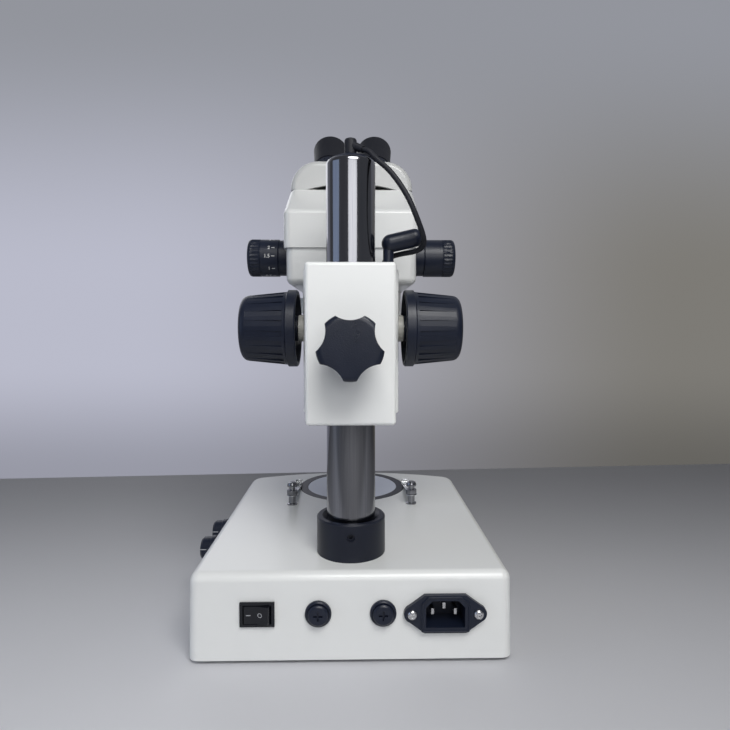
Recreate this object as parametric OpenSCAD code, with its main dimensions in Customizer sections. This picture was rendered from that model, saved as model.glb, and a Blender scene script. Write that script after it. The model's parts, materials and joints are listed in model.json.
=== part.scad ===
// Binocular stereo zoom microscope on a lit pillar stand.
// The origin is the centre of the stage plate's top face, on the optical axis.
// +X is the user's right, -Y points to the user and +Z up. Lengths are in millimetres.

/* [Base] */
// Width of the base across its top
base_w = 196; // [185:1:215]
// Height of the base housing
base_h = 53.5; // [50:0.5:70]
// Distance from the optical axis back to the rear face
base_rear = 188; // [184:1:215]
// Distance from the optical axis to the middle of the top front edge
base_front = 52; // [51:1:70]
// How far the sloping front runs out below the top edge
front_slope = 24; // [0:1:40]
// Radius of the bowed front edge
front_bow = 231; // [200:1:400]
// Radius of the two front corners
front_corner = 14; // [10:1:20]
// Wall of the housing
base_wall = 3; // [2.5:0.5:4]
// Radius of the rounded top edges
base_round = 6.5; // [5:0.5:8]
// Outward lean of each side from top to bottom
base_draft = 0.8; // [0:0.1:3]
// Thickness of the steel cover underneath
cover_t = 1.5; // [1:0.5:3]
// Diameter of a rubber foot
foot_d = 22; // [16:1:30]
// Height of a foot below the cover
foot_proud = 2.5; // [2:0.5:6]

/* [Stage] */
// Diameter of the frosted stage plate
plate_d = 82; // [70:1:84]
// Thickness of the frosted stage plate
plate_t = 5; // [3:0.5:6]
// Outer diameter of the black stage ring
ring_d = 96.5; // [94:0.5:100]
// Distance of a clip post to the side of the optical axis
clip_x = 49.8; // [47:0.1:56]
// Distance of the clip posts behind the optical axis
clip_y = 55; // [52:1:70]
// Height of a clip post above the base
clip_h = 19; // [17:0.5:24]
// Length of a clip spring from its post to its rolled end
clip_len = 58; // [45:1:75]

/* [Pillar] */
// Distance of the pillar axis behind the optical axis
pillar_y = 152; // [150:1:160]
// Diameter of the pillar
pillar_d = 32; // [30:0.5:32.5]
// Wall of the pillar tube
pillar_wall = 2.5; // [2:0.5:4]
// Height of the pillar above the base
pillar_h = 255; // [250:1:300]
// Outer diameter of the collar at the pillar's foot
collar_d = 45; // [42:1:52]
// Height of that collar
collar_h = 24; // [18:1:30]

/* [Focus bracket] */
// Width of the clamp block
block_w = 56; // [54:1:62]
// Height of the clamp block
block_h = 99.8; // [90:0.1:110]
// Height of the middle of the clamp block
block_z = 137.4; // [135:0.1:142]
// Wall of the clamp block behind the pillar
block_wall = 12; // [9:0.5:16]
// Width of the rack housing in front of the clamp block
rack_w = 65.6; // [62:0.2:72]
// Distance of the focus shaft in front of the pillar axis
shaft_fwd = 30; // [29:0.5:32]
// Height of the focus shaft
shaft_z = 147; // [145:0.5:150]
// Diameter of the focus shaft
shaft_d = 8; // [6:0.5:10]
// Teeth on the pinion
pinion_teeth = 14; // [13:1:15]
// Module of the rack and pinion
tooth_m = 1; // [0.95:0.05:1.05]
// Focus travel each way
focus_travel = 22; // [15:1:22]
// Flange diameter of a focus knob
knob_d = 54; // [48:1:56]
// Distance from the middle to the outer end of a focus knob
knob_end = 76.2; // [72:0.2:90]
// Grooves round a focus knob
knob_grooves = 22; // [16:1:26]
// Radius of the star knob at its lobes
star_r = 19.5; // [17:0.5:24]
// Radius of the star knob at its waist between two lobes
star_waist = 15.2; // [11:0.1:16]

/* [Head] */
// Width of the upper half of the head
head_w = 104; // [98:0.2:110]
// Step in from the upper to the lower half, all round
head_step = 1.8; // [1:0.2:3]
// Height of the head's underside
head_z = 180; // [180:0.5:186]
// Height of the lower half of the head
lower_h = 28.3; // [27:0.1:32]
// Height of the upper half where the roof is highest
upper_h = 54.9; // [50:0.1:60]
// Height of the upper half at its rear edge
rear_h = 31; // [29:0.5:36]
// Distance from the optical axis back to the head's rear face
head_back = 90; // [84:0.5:90]
// Distance from the optical axis forward to the head's front face
head_front = 62; // [58:0.5:68]
// Wall of the head's shells
head_wall = 3; // [2:0.5:4]
// Diameter of the mounting flange below the head
flange_d = 76; // [74:0.5:78]
// Height of the ring that holds the flange
holder_h = 24; // [20:1:26]
// Diameter of the objective housing
nose_d = 62; // [58:1:66]
// Working distance from the nose to the stage
work_dist = 102; // [96:1:112]
// Diameter of a zoom knob
zoom_d = 31; // [28:0.5:33]
// Distance from the middle to the outer end of a zoom knob
zoom_end = 86; // [80:1:92]

/* [Binocular] */
// Radius of the two prism drums
drum_r = 27; // [25:0.1:27.4]
// Distance of each drum axis from the middle
drum_x = 28.1; // [27.8:0.1:30]
// Thickness of a prism drum
drum_h = 26; // [20:1:28]
// Distance of an eyepiece tube from its drum axis
eye_offset = 10.5; // [9.8:0.1:10.8]
// Turn of the eyepiece tubes from the inward side of their drums
eye_turn = 70; // [60:1:90]
// Step in from the sides of the head to the hood over the prisms
hood_step = 0.5; // [0:0.1:3]
// Diameter of an eyepiece tube
tube_d = 34; // [33:0.5:36]
// Length of an eyepiece tube
tube_len = 32; // [24:1:40]
// Length of the rubber eyecups
cup_h = 39.4; // [36:0.2:52]
// Diameter of a rubber eyecup at its rim
cup_d = 38.4; // [36:0.2:40]

/* [Hidden] */
// A small overlap that keeps cuts clean
eps = 0.01;
// Radial play of a running fit and play between a part and its seat
run = 0.08;
seat = 0.2;
// Gap between faces of pieces that turn or slide past each other
air = 0.3;
$fn = 64;

// Base outline, as the centres of its edge rounding
edge_x = base_w / 2 - base_round;
edge_y = base_rear - base_round;
bow_y = front_bow - base_front;
corner_x = base_w / 2 - front_corner;
corner_y = bow_y - sqrt(pow(front_bow - front_corner, 2) - pow(corner_x, 2));
corner_end = atan2(bow_y - corner_y, corner_x);
corner_steps = 4;
front_line = concat(
    [for (i = [0:corner_steps]) let (a = -corner_end * i / corner_steps)
        [corner_x + (front_corner - base_round) * cos(a),
         corner_y + (front_corner - base_round) * sin(a)]],
    [for (k = [3:-1:0]) let (a = (90 - corner_end) * k / 4)
        [(front_bow - base_round) * sin(a), bow_y - (front_bow - base_round) * cos(a)]]);
base_floor = -base_h + cover_t;
table_z = -base_h - foot_proud;

// Cover posts, feet and the panel screws
post_d = 8;
dial_ys = [77, 112];
post_x = base_w / 2 - 14;
post_rear = base_rear - 14;
post_mid = (dial_ys[0] + dial_ys[1]) / 2;
post_front = -22;
cover_posts = [for (x = [-post_x, post_x]) for (y = [post_front, post_mid, post_rear]) [x, y]];
foot_x = base_w / 2 - 24;
feet_at = [for (x = [-foot_x, foot_x]) for (y = [-2, base_rear - 34]) [x, y]];
foot_stem = 6;
screw_d = 3;
screw_head = 5.6;
screw_head_h = 1.8;

// Stage ring and its seat in the housing
ring_flange = 1.5;
ring_body_d = ring_d - 5;
ring_h = plate_t + 3;
ledge_d = plate_d - 6;

// Clip posts
clip_foot_d = 5;
clip_neck_d = 4;
clip_neck_z = 7.5;
spring_t = 0.6;
spring_w = 6.5;
spring_roll = 2.2;

// Pillar and what is in its top
pillar_foot = -36;
boss_d = 42;
fuse_deep = 17;
pillar_in = pillar_d - 2 * pillar_wall;
crown = pillar_wall - 0.1;
socket_h = 14;
socket_rise = 3.8;
jack_d = 5.5;
plug_d = 8;
plug_h = 10.6;
grub_z = 16;
grub_d = 5;

// Rear panel
panel_z = -24.6;
switch_x = base_w / 2 - 41.8;
switch_w = 21;
switch_h = 15;
rocker_r = 8.2;
rocker_w = 10.8;
rocker_tilt = 8;
fuse_x = 19.6;
fuse_d = 16;
fuse_cap_d = 12.6;
fuse_bore = 9;
inlet_x = 41 - base_w / 2;
inlet_w = 27;
inlet_h = 19.6;
inlet_flange_t = 3;
inlet_pitch = 40;
inlet_deep = 16;
pin_rows = [[-7, -1.2], [0, 2.4], [7, -1.2]];

// Brightness controls on the right side
dial_z = -14.2;
dial_d = 18;
dial_len = 10;
dial_shaft = 6;

// Focus bracket
block_round = 2.6;
block_lo = block_z - block_h / 2;
block_hi = block_z + block_h / 2;
block_back = pillar_y + pillar_d / 2 + block_wall;
rack_lo = block_lo + 0.5;
rack_hi = block_hi + 0.7;
shaft_y = pillar_y - shaft_fwd;
rack_front = shaft_y - 12;
star_z = 136.5;
star_face = block_back + 29;
star_t = 14;
scallop_r = 14.7;
clamp_d = 8;
bush_d = 14;
boss_od = 18.7;
boss_out = 3.8;

// Rack and pinion
pitch_r = tooth_m * pinion_teeth / 2;
pinion_w = 9.4;
bush_in = 18.6;
backlash = 0.12;
pinion_add = 0.8 * tooth_m;
pinion_ded = 1.1 * tooth_m;
rack_add = 0.75 * tooth_m;
rack_ded = tooth_m;
press = 20;
rack_pitch_y = shaft_y - pitch_r;
rack_seat_y = rack_front + 0.9;
rack_teeth_n = 18;
rack_half_w = 5;

// Dovetail slide
tail_mouth = 14;
tail_floor = 18;
tail_deep = 7.5;
slide_half = 22;
slide_t = 10.6;
slide_lo = shaft_z - 29;
slide_hi = shaft_z + 29;

// Ring that carries the head
holder_top = head_z - air;
holder_r = flange_d / 2 + 7;
arm_half = 20;
arm_h = 18;
ring_screw_z = holder_top - holder_h / 2;

// Incident lamp below the slide
lamp_y = 90;
lamp_z = 80;
lamp_r = 11;
lamp_aim = atan(lamp_z / lamp_y);
lamp_fwd = 26;
lamp_aft = 8;
lamp_pin = 2;
ear_in = lamp_r + 1.2;
ear_t = 3;
gland_x = -27.5;
gland_y = 104.5;
gland_z = 93;
lead_d = 3.5;

// Head shells
head_round = 6;
seam_z = head_z + lower_h;
roof_z = seam_z + upper_h;
roof_y = 42;
brow_k = 290;
nose_flange_z = holder_top - holder_h;
zoom_y = 42;
zoom_z = seam_z - 2.3;
zoom_shaft_d = 8;

// Binocular: lengths along and across axes that lean 45 degrees to the user
hood_z = roof_z + 1.5;
hood_round = 5;
hood_r = head_w / 2 - hood_step - drum_x;
arch_w = 38;
arch_h = 5.4;
arch_deep = 9;
lean = 45;
spigot_r = 8;
spigot_len = 12;
brow_s = brow_k / sqrt(2);
drum_u = 144.6;
drum_s = brow_s + air;
cup_u = drum_u + eye_offset * sin(eye_turn);
cup_x = drum_x - eye_offset * cos(eye_turn);
cone_h = 14;
tube_s = drum_s + drum_h + cone_h;
dioptre_s = tube_s + tube_len;
dioptre_h = 14;
dioptre_r = 18.4;
eyepiece_d = 30;
ocular_r = 16.6;
sleeve_r = 14.6;
cup_s = dioptre_s + dioptre_h + 6;
lens_s = cup_s + 12;

// Route of the lamp lead, from the plug on the pillar over the hook and down to the lamp
lead_route = [[-8, 156.6, 261.2], [-11.7, 158.7, 259.2], [-14.9, 160.8, 255.4],
    [-18.6, 162.6, 251.5], [-24.2, 164.4, 246], [-30, 166, 238.3], [-35.7, 167, 229],
    [-39.4, 167, 221], [-43, 165, 213], [-46, 161, 206.4], [-47.2, 156, 202],
    [-45.5, 151, 199], [-41, 146.5, 197.6], [-35, 142.5, 197], [-29, 138.5, 196],
    [-24.5, 133.5, 194.2], [-23, 128, 192.4], [-23, 122, 191.3], [-24, 116, 191],
    [-25.8, 110.5, 190], [-27, 106.6, 186.5], [-27.5, 104.8, 181], [-27.5, 104.5, 174],
    [-27.5, 104.5, 165], [-27.5, 104.5, 156], [-27.5, 104.5, 147], [-27.5, 104.5, 138],
    [-27.5, 104.5, 129], [-27.5, 104.5, 120], [-27.5, 104.5, 111], [-27.5, 104.5, 102],
    [-27.5, 104.5, 93]];
// Place in the route where the hook holds the lead
lead_hold = 14;
hook_a = [-26.3, 147, 203];
hook_b = [-41.8, 147, 206.6];
hook_r = 6;
hook_post = [-24.8, 147];

// Turns upright shapes to the lean of the eyepieces
module leaning() {
    rotate([lean, 0, 0]) children();
}

// A box with every edge rounded
module soft_box(x, y0, y1, z0, z1, r) {
    hull()
        for (sx = [-1, 1])
            for (cy = [y0 + r, y1 - r])
                for (cz = [z0 + r, z1 - r])
                    translate([sx * (x - r), cy, cz]) sphere(r = r, $fn = 24);
}

// A bar lying along X, from x0 to x1
module bar_x(d, x0, x1, y, z) {
    translate([x0, y, z]) rotate([0, 90, 0]) cylinder(d = d, h = x1 - x0);
}

// A bar lying along Y, from y0 to y1
module bar_y(d, x, y0, y1, z) {
    translate([x, y0, z]) rotate([-90, 0, 0]) cylinder(d = d, h = y1 - y0);
}

// Puts a copy at each point of a list
module at_points(points) {
    for (p = points) translate([p[0], p[1], 0]) children();
}

// Solid of the base outline with a softly rounded top
module base_form() {
    hull()
        for (side = [-1, 1]) {
            translate([side * edge_x, edge_y, -base_round]) sphere(r = base_round, $fn = 24);
            translate([side * (edge_x + base_draft), edge_y, -base_h])
                cylinder(r = base_round, h = 1, $fn = 24);
            for (p = front_line) {
                translate([side * p[0], p[1], -base_round]) sphere(r = base_round, $fn = 24);
                translate([side * (p[0] + base_draft * p[0] / edge_x), p[1] - front_slope, -base_h])
                    cylinder(r = base_round, h = 1, $fn = 24);
            }
        }
}

// Solid of the base outline inset by a wall, between two heights
module base_inside(inset, z0, z1) {
    r = base_round - inset;
    top = (z1 + base_h) / base_h;
    low = (z0 + base_h) / base_h;
    hull()
        for (side = [-1, 1])
            for (lvl = [[z0, low], [z1 - 0.5, top]]) {
                translate([side * (edge_x + base_draft * (1 - lvl[1])), edge_y, lvl[0]])
                    cylinder(r = r, h = 0.5, $fn = 16);
                for (p = front_line)
                    translate([side * (p[0] + base_draft * (1 - lvl[1]) * p[0] / edge_x),
                        p[1] - front_slope * (1 - lvl[1]), lvl[0]])
                        cylinder(r = r, h = 0.5, $fn = 16);
            }
}

module inlet_outline(grow) {
    w = inlet_w / 2 + grow;
    h = inlet_h / 2 + grow;
    c = 4;
    polygon([[-w, -h], [w, -h], [w, h - c], [w - c, h], [-w + c, h], [-w, h - c]]);
}

module base_housing() color("white") difference() {
    union() {
        difference() {
            base_form();
            base_inside(base_wall, -base_h - 1, -base_wall);
        }
        translate([0, pillar_y, pillar_foot - 4])
            cylinder(d = boss_d, h = -base_wall - pillar_foot + 4 + eps);
        translate([0, 0, -ring_h - 2])
            cylinder(d = ring_d + 4, h = ring_h + 2 - base_wall + eps);
        at_points(cover_posts)
            translate([0, 0, base_floor]) cylinder(d = post_d, h = base_h - cover_t - base_wall + eps);
        for (side = [-1, 1])
            translate([side * clip_x, clip_y, -7]) cylinder(d = 9, h = 7 - base_wall + eps);
    }
    translate([0, pillar_y, pillar_foot]) cylinder(r = pillar_d / 2 + run, h = 60);
    translate([0, pillar_y, pillar_foot - 5]) cylinder(d = pillar_in - 4, h = 10);
    translate([0, 0, -ring_flange]) cylinder(d = ring_d + 2 * seat, h = 5);
    translate([0, 0, -ring_h - 3]) cylinder(d = ring_body_d + 2 * seat, h = ring_h + 3);
    for (side = [-1, 1])
        translate([side * clip_x, clip_y, -6]) cylinder(d = clip_foot_d, h = 10);
    at_points(cover_posts)
        translate([0, 0, base_floor - 1]) cylinder(d = screw_d - 0.5, h = 9);
    translate([switch_x, base_rear, panel_z])
        cube([switch_w - 2 + 2 * seat, 20, switch_h - 2 + 2 * seat], center = true);
    for (side = [-1, 1])
        bar_y(12.4, side * fuse_x, base_rear - 10, base_rear + 1, panel_z);
    translate([inlet_x, base_rear + 1, panel_z]) rotate([90, 0, 0])
        linear_extrude(10) inlet_outline(seat);
    for (side = [-1, 1])
        bar_y(screw_d - 0.5, inlet_x + side * inlet_pitch / 2, base_rear - 10, base_rear + 1, panel_z);
    for (y = dial_ys)
        bar_x(7.2, base_w / 2 - 10, base_w / 2 + 5, y, dial_z);
}

module base_cover() color("dimgray") difference() {
    base_inside(base_wall + 0.4, -base_h, base_floor);
    at_points(cover_posts) translate([0, 0, -base_h - 1]) cylinder(d = screw_d + 0.3, h = 5);
    at_points(feet_at) translate([0, 0, -base_h - 1]) cylinder(d = foot_stem + 0.1, h = 5);
}

// A pan head screw with a cross slot, head down, its seat at z = 0
module pan_screw(len) {
    difference() {
        union() {
            cylinder(d = screw_d - 0.6, h = len);
            translate([0, 0, -screw_head_h]) cylinder(d1 = screw_head - 1.4, d2 = screw_head, h = 0.7);
            translate([0, 0, -screw_head_h + 0.7]) cylinder(d = screw_head, h = screw_head_h - 0.7);
        }
        for (a = [0, 90])
            rotate([0, 0, a]) translate([-1.5, -0.35, -screw_head_h - eps]) cube([3, 0.7, 1]);
    }
}

module panel_screws() color("silver") {
    difference() {
        bar_y(grub_d - 0.1, 0, pillar_y + pillar_d / 2 + air, pillar_y + pillar_d / 2 + 5, grub_z);
        translate([0, pillar_y + pillar_d / 2 + 3, grub_z]) rotate([-90, 0, 0])
            cylinder(d = 2.9, h = 5, $fn = 6);
    }
    at_points(cover_posts) translate([0, 0, -base_h]) pan_screw(8);
    for (side = [-1, 1])
        translate([inlet_x + side * inlet_pitch / 2, base_rear + inlet_flange_t, panel_z])
            rotate([90, 0, 0]) pan_screw(9);
}

module rubber_feet() color("#222222") at_points(feet_at) translate([0, 0, -base_h])
    rotate_extrude() polygon([[0, -foot_proud], [foot_d / 2 - 1.5, -foot_proud],
        [foot_d / 2, -foot_proud + 1.5], [foot_d / 2, 0], [foot_stem / 2, 0],
        [foot_stem / 2, cover_t], [foot_stem / 2 + 1.6, cover_t],
        [foot_stem / 2 + 0.4, cover_t + 3], [0, cover_t + 3]]);

module stage_ring() color("#1d1d1f") rotate_extrude($fn = 96) polygon([
    [plate_d / 2 + seat, 0], [ring_d / 2 - 0.5, 0], [ring_d / 2, -0.5], [ring_d / 2, -ring_flange],
    [ring_body_d / 2, -ring_flange], [ring_body_d / 2, -ring_h], [ledge_d / 2, -ring_h],
    [ledge_d / 2, -plate_t], [plate_d / 2 + seat, -plate_t]]);

module stage_plate() color("#eef0f4") rotate_extrude($fn = 96) polygon([
    [0, -plate_t], [plate_d / 2 - 0.4, -plate_t], [plate_d / 2, -plate_t + 0.4],
    [plate_d / 2, -0.4], [plate_d / 2 - 0.4, 0], [0, 0]]);

// Posts that hold the clip springs, each with a waist for the spring and a mushroom head
module clip_posts() color("silver") for (side = [-1, 1]) translate([side * clip_x, clip_y, 0])
    difference() {
        rotate_extrude() polygon([[0, -6], [clip_foot_d / 2, -6], [clip_foot_d / 2, 0],
            [4.3, 0], [4.3, 1], [3, 1.4], [3, clip_neck_z], [clip_neck_d / 2, clip_neck_z],
            [clip_neck_d / 2, clip_neck_z + spring_t + 0.2], [4.1, clip_neck_z + spring_t + 0.2],
            [4.4, clip_neck_z + spring_t + 0.5], [4.4, clip_neck_z + 4.6], [4, clip_neck_z + 5],
            [2.4, clip_neck_z + 5], [2.4, clip_h - 4.4], [4.1, clip_h - 4], [4.3, clip_h - 2.6],
            [3.6, clip_h - 0.8], [2, clip_h], [0, clip_h]]);
        for (i = [0:17]) rotate([0, 0, i * 20])
            translate([4.7, 0, clip_neck_z + spring_t + 0.1]) cylinder(r = 0.55, h = 4.6, $fn = 16);
    }

// A flat spring that turns on its post, bends down to the stage and ends in a roll
module clip_spring(side) color("#c9ccd0") translate([side * clip_x, clip_y, 0]) {
    drop = clip_neck_z - 0.45;
    lean_len = clip_len - 16;
    difference() {
        union() {
            translate([0, 0, clip_neck_z + 0.1]) cylinder(d = 9.5, h = spring_t);
            translate([-spring_w / 2, 0, 0]) rotate([90, 0, 90]) linear_extrude(spring_w)
                polygon([[-0.5, clip_neck_z + 0.1], [-10, clip_neck_z + 0.1],
                    [-10 - lean_len, clip_neck_z + 0.1 - drop], [-clip_len, 0.5],
                    [-clip_len, 0.5 + spring_t], [-10 - lean_len + 0.1, clip_neck_z + 0.7 - drop],
                    [-9.9, clip_neck_z + 0.1 + spring_t], [-0.5, clip_neck_z + 0.1 + spring_t]]);
            translate([-spring_w / 2, -clip_len, 0.5 + spring_roll]) rotate([0, 90, 0])
                difference() {
                    cylinder(r = spring_roll, h = spring_w);
                    translate([0, 0, -1]) cylinder(r = spring_roll - spring_t, h = spring_w + 2);
                    translate([-4, 0, -1]) cube([4.6, 8, spring_w + 2]);
                }
        }
        cylinder(r = clip_neck_d / 2 + run, h = 20);
    }
}

module clip_spring_left() clip_spring(-1);

module clip_spring_right() clip_spring(1);

module pillar_collar() color("#222326") translate([0, pillar_y, 0]) difference() {
    rotate_extrude($fn = 96) polygon([[pillar_d / 2 + run, 0], [collar_d / 2, 0],
        [collar_d / 2, collar_h - 0.8], [collar_d / 2 - 0.8, collar_h],
        [pillar_d / 2 + 3, collar_h], [pillar_d / 2 + run, collar_h - 3]]);
    bar_y(grub_d, 0, 0, collar_d, grub_z);
}

// The switch body behind a raised bezel, open in front for the rocker
module switch_frame() color("#1b1b1d") translate([switch_x, base_rear, panel_z]) difference() {
    union() {
        translate([-switch_w / 2, 0, -switch_h / 2]) cube([switch_w, 1.6, switch_h]);
        translate([-switch_w / 2 + 1, -15, -switch_h / 2 + 1]) cube([switch_w - 2, 16, switch_h - 2]);
        for (x = [-6, 0, 6]) translate([x - 0.4, -23, -2.4]) cube([0.8, 9, 4.8]);
    }
    translate([-rocker_r - 0.3, -8.6, -rocker_w / 2 - 0.3]) cube([2 * rocker_r + 0.6, 12, rocker_w + 0.6]);
}

// The rocker turns about a stud across its middle, from off to on
module switch_rocker() color("#26262a") translate([switch_x, base_rear - 0.6, panel_z])
    rotate([0, 0, -rocker_tilt]) union() {
        intersection() {
            translate([0, 0, -rocker_w / 2]) cylinder(r = rocker_r, h = rocker_w);
            translate([0, 0, -rocker_w / 2]) linear_extrude(rocker_w) polygon([[-9, -2.6], [0, -6.5],
                [9, -2.6], [9, 3.4], [7.2, 3.6], [0, 2.4], [-7.2, 3.6], [-9, 3.4]]);
        }
    }

module fuse_holders() color("#1b1b1d") for (side = [-1, 1])
    translate([side * fuse_x, base_rear, panel_z]) rotate([-90, 0, 0]) difference() {
        union() {
            rotate_extrude() polygon([[fuse_bore / 2, 0], [fuse_d / 2, 0], [fuse_d / 2, 1.6],
                [fuse_d / 2 - 0.8, 2.4], [fuse_cap_d / 2 + air, 2.4],
                [fuse_cap_d / 2 + air, 1.2], [fuse_bore / 2, 1.2]]);
            translate([0, 0, -fuse_deep]) difference() {
                cylinder(d = 12, h = fuse_deep + eps);
                translate([0, 0, 1.2]) cylinder(d = fuse_bore, h = 40);
            }
            translate([0, 0, -base_wall - 4]) difference() {
                cylinder(d = 17.5, h = 4, $fn = 6);
                translate([0, 0, -1]) cylinder(d = 11.5, h = 6);
            }
        }
        translate([0, 0, 1.2]) cylinder(d = fuse_cap_d + 2 * air, h = 5);
    }

// A slotted cap with the fuse that it carries into the holder
module fuse_cap(side) color("#2a2a2e") translate([side * fuse_x, base_rear, panel_z])
    rotate([-90, 0, 0]) difference() {
        union() {
            rotate_extrude() polygon([[0, -6], [fuse_bore / 2 - air, -6], [fuse_bore / 2 - air, 1.5],
                [fuse_cap_d / 2, 1.5], [fuse_cap_d / 2, 3.6], [fuse_cap_d / 2 - 1, 4.4], [0, 4.4]]);
            translate([0, 0, -fuse_deep + 1.5]) cylinder(d = 5, h = fuse_deep - 2);
        }
        for (a = [0, 90]) rotate([0, 0, a]) translate([-2.8, -0.5, 2.8]) cube([5.6, 1, 3]);
    }

module fuse_cap_left() fuse_cap(-1);

module fuse_cap_right() fuse_cap(1);

// Appliance inlet with a pointed flange, a socket and a closed back
module mains_inlet() color("#1b1b1d") translate([inlet_x, base_rear, panel_z])
    rotate([90, 0, 0]) let (flange_h = inlet_h / 2 + 1.7, flat_w = inlet_w / 2 - 1) difference() {
        union() {
            translate([0, 0, -inlet_flange_t]) linear_extrude(inlet_flange_t) difference() {
                union() {
                    for (side = [0, 1]) mirror([side, 0]) polygon([[-1, -flange_h], [flat_w, -flange_h],
                        [inlet_pitch / 2 + 2, -4.6], [inlet_pitch / 2 + 2, 4.6],
                        [flat_w, flange_h], [-1, flange_h]]);
                    for (side = [-1, 1]) translate([side * inlet_pitch / 2, 0]) circle(r = 5);
                }
                for (side = [-1, 1])
                    translate([side * inlet_pitch / 2, 0]) circle(d = screw_d + 0.4);
            }
            linear_extrude(inlet_deep) inlet_outline(0);
        }
        translate([0, 0, -inlet_flange_t - 1]) linear_extrude(inlet_deep - 0.5 + inlet_flange_t)
            inlet_outline(-1.7);
        for (p = pin_rows) translate([p[0] - 1, p[1] - 2, 0]) cube([2, 4, inlet_deep + 1]);
    }

module inlet_pins() color("silver") translate([inlet_x, base_rear, panel_z])
    for (p = pin_rows)
        translate([p[0] - 1, -inlet_deep - 6, p[1] - 2]) cube([2, inlet_deep + 3, 4]);

// Circuit board on four spacers, with its transformer and capacitors
module power_board() color("#2f6b3a") translate([20.5 - base_w / 2, 76, base_floor]) {
    for (x = [4, 46]) for (y = [4, 66]) translate([x, y, 0]) cylinder(d = 6, h = 8.1);
    translate([0, 0, 8]) cube([50, 70, 1.6]);
    translate([6, 8, 9.5]) cube([30, 26, 22]);
    for (x = [12, 26]) translate([x, 50, 9.5]) cylinder(d = 10, h = 16);
}

// Reflector cup with the light source of the lit stage
module base_lamp() color("#d8d8d2") translate([0, 0, base_floor]) {
    rotate_extrude() polygon([[0, 0], [30, 0], [30, 4], [24, 4], [24, 9], [36, 34], [34.5, 34],
        [22.5, 9.6], [0, 9.6]]);
    translate([0, 0, 9.6]) cylinder(d = 26, h = 2);
}

// Two potentiometers with their shafts through the side wall
module dimmers() color("#5b5b60") for (y = dial_ys) {
    translate([base_w / 2 - base_wall - 11, y - 8, dial_z - 9]) cube([10, 16, 17]);
    bar_x(7, base_w / 2 - base_wall - 2, base_w / 2 + 0.8, y, dial_z);
    bar_x(dial_shaft, base_w / 2, base_w / 2 + dial_len - 1, y, dial_z);
}

// A control knob with a pale band and a fluted grip
module brightness_knob(y) color("#2a2a2e") translate([base_w / 2 + 1.3, y, dial_z])
    rotate([0, 90, 0]) difference() {
        rotate_extrude() polygon([[dial_shaft / 2 + run, 0], [dial_d / 2, 0], [dial_d / 2, 2.6],
            [dial_d / 2 - 0.5, 3], [dial_d / 2 - 0.8, dial_len - 1.6], [dial_d / 2 - 2.2, dial_len],
            [0, dial_len], [0, dial_len - 2], [dial_shaft / 2 + run, dial_len - 2]]);
        for (i = [0:17]) rotate([0, 0, i * 20])
            translate([dial_d / 2 - 0.2, 0, 4]) cylinder(r = 0.55, h = 10, $fn = 16);
    }

module brightness_knob_front() brightness_knob(dial_ys[0]);

module brightness_knob_rear() brightness_knob(dial_ys[1]);

module pillar() color("#d5d8dc") translate([0, pillar_y, 0]) rotate_extrude($fn = 96) polygon(concat(
    [[pillar_in / 2, pillar_foot + 0.1], [pillar_d / 2, pillar_foot + 0.1]],
    [for (i = [0:6]) let (a = i * 15)
        [pillar_d / 2 - crown + crown * cos(a), pillar_h - 3.4 + 3.4 * sin(a)]],
    [[pillar_in / 2, pillar_h]]));

module pillar_socket() color("#202024") translate([0, pillar_y, pillar_h]) rotate_extrude() polygon([
    [jack_d / 2, -socket_h], [pillar_in / 2 - 0.1, -socket_h], [pillar_in / 2 - 0.1, 0],
    [pillar_in / 2, 0.1], [pillar_in / 2 - 1.2, 1.3], [pillar_in / 2 - 4, 2.4],
    [7, socket_rise - 0.6], [6, socket_rise], [jack_d / 2, socket_rise]]);

// Right angle plug: pin in the socket, upright grip and tapered relief down to the lead
module lamp_plug() color("#18181a") {
    top_z = pillar_h + socket_rise + plug_h;
    relief_z = top_z - plug_d / 2 - 0.2;
    relief = lead_route[0] - [0, pillar_y, relief_z];
    translate([0, pillar_y, 0]) {
        translate([0, 0, pillar_h - socket_h + 2]) cylinder(d = jack_d - 0.1, h = socket_h + 3);
        translate([0, 0, pillar_h + socket_rise]) rotate_extrude() polygon([[0, 0],
            [plug_d / 2, 0], [plug_d / 2, plug_h - 1.6], [plug_d / 2 - 0.5, plug_h - 0.5],
            [plug_d / 2 - 1.6, plug_h], [0, plug_h]]);
    }
    translate([0, pillar_y, relief_z])
        rotate([0, acos(relief[2] / norm(relief)), atan2(relief[1], relief[0])])
            cylinder(d1 = plug_d - 1.6, d2 = lead_d + 1, h = norm(relief));
}

// Direction of the lead at each point of its route, from the points beside it
function unit(v) = v / norm(v);
function lead_way(i) = unit(lead_route[min(i + 1, len(lead_route) - 1)] - lead_route[max(i - 1, 0)]);
function carry(side, way) = unit(side - (side * way) * way);
function lead_side(i) = carry(i == 0 ? [1, 0, 1] : lead_side(i - 1), lead_way(i));

// The lead between two points of its route
module lead_part(first, last) {
    sides = 8;
    n = last - first + 1;
    rings = [for (i = [first:last]) let (w = lead_way(i), a = lead_side(i), b = cross(w, a))
        for (k = [0:sides - 1])
            lead_route[i] + lead_d / 2 * (cos(k * 360 / sides) * a + sin(k * 360 / sides) * b)];
    polyhedron(points = rings, faces = concat(
        [[for (k = [0:sides - 1]) k]],
        [for (i = [0:n - 2]) for (k = [0:sides - 1]) let (m = (k + 1) % sides)
            [i * sides + k, (i + 1) * sides + k, (i + 1) * sides + m, i * sides + m]],
        [[for (k = [sides - 1:-1:0]) (n - 1) * sides + k]]));
}

module lamp_lead() color("#1a1a1c") lead_part(0, lead_hold);

module lead_tail() color("#1a1a1c") lead_part(lead_hold, len(lead_route) - 1);

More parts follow.
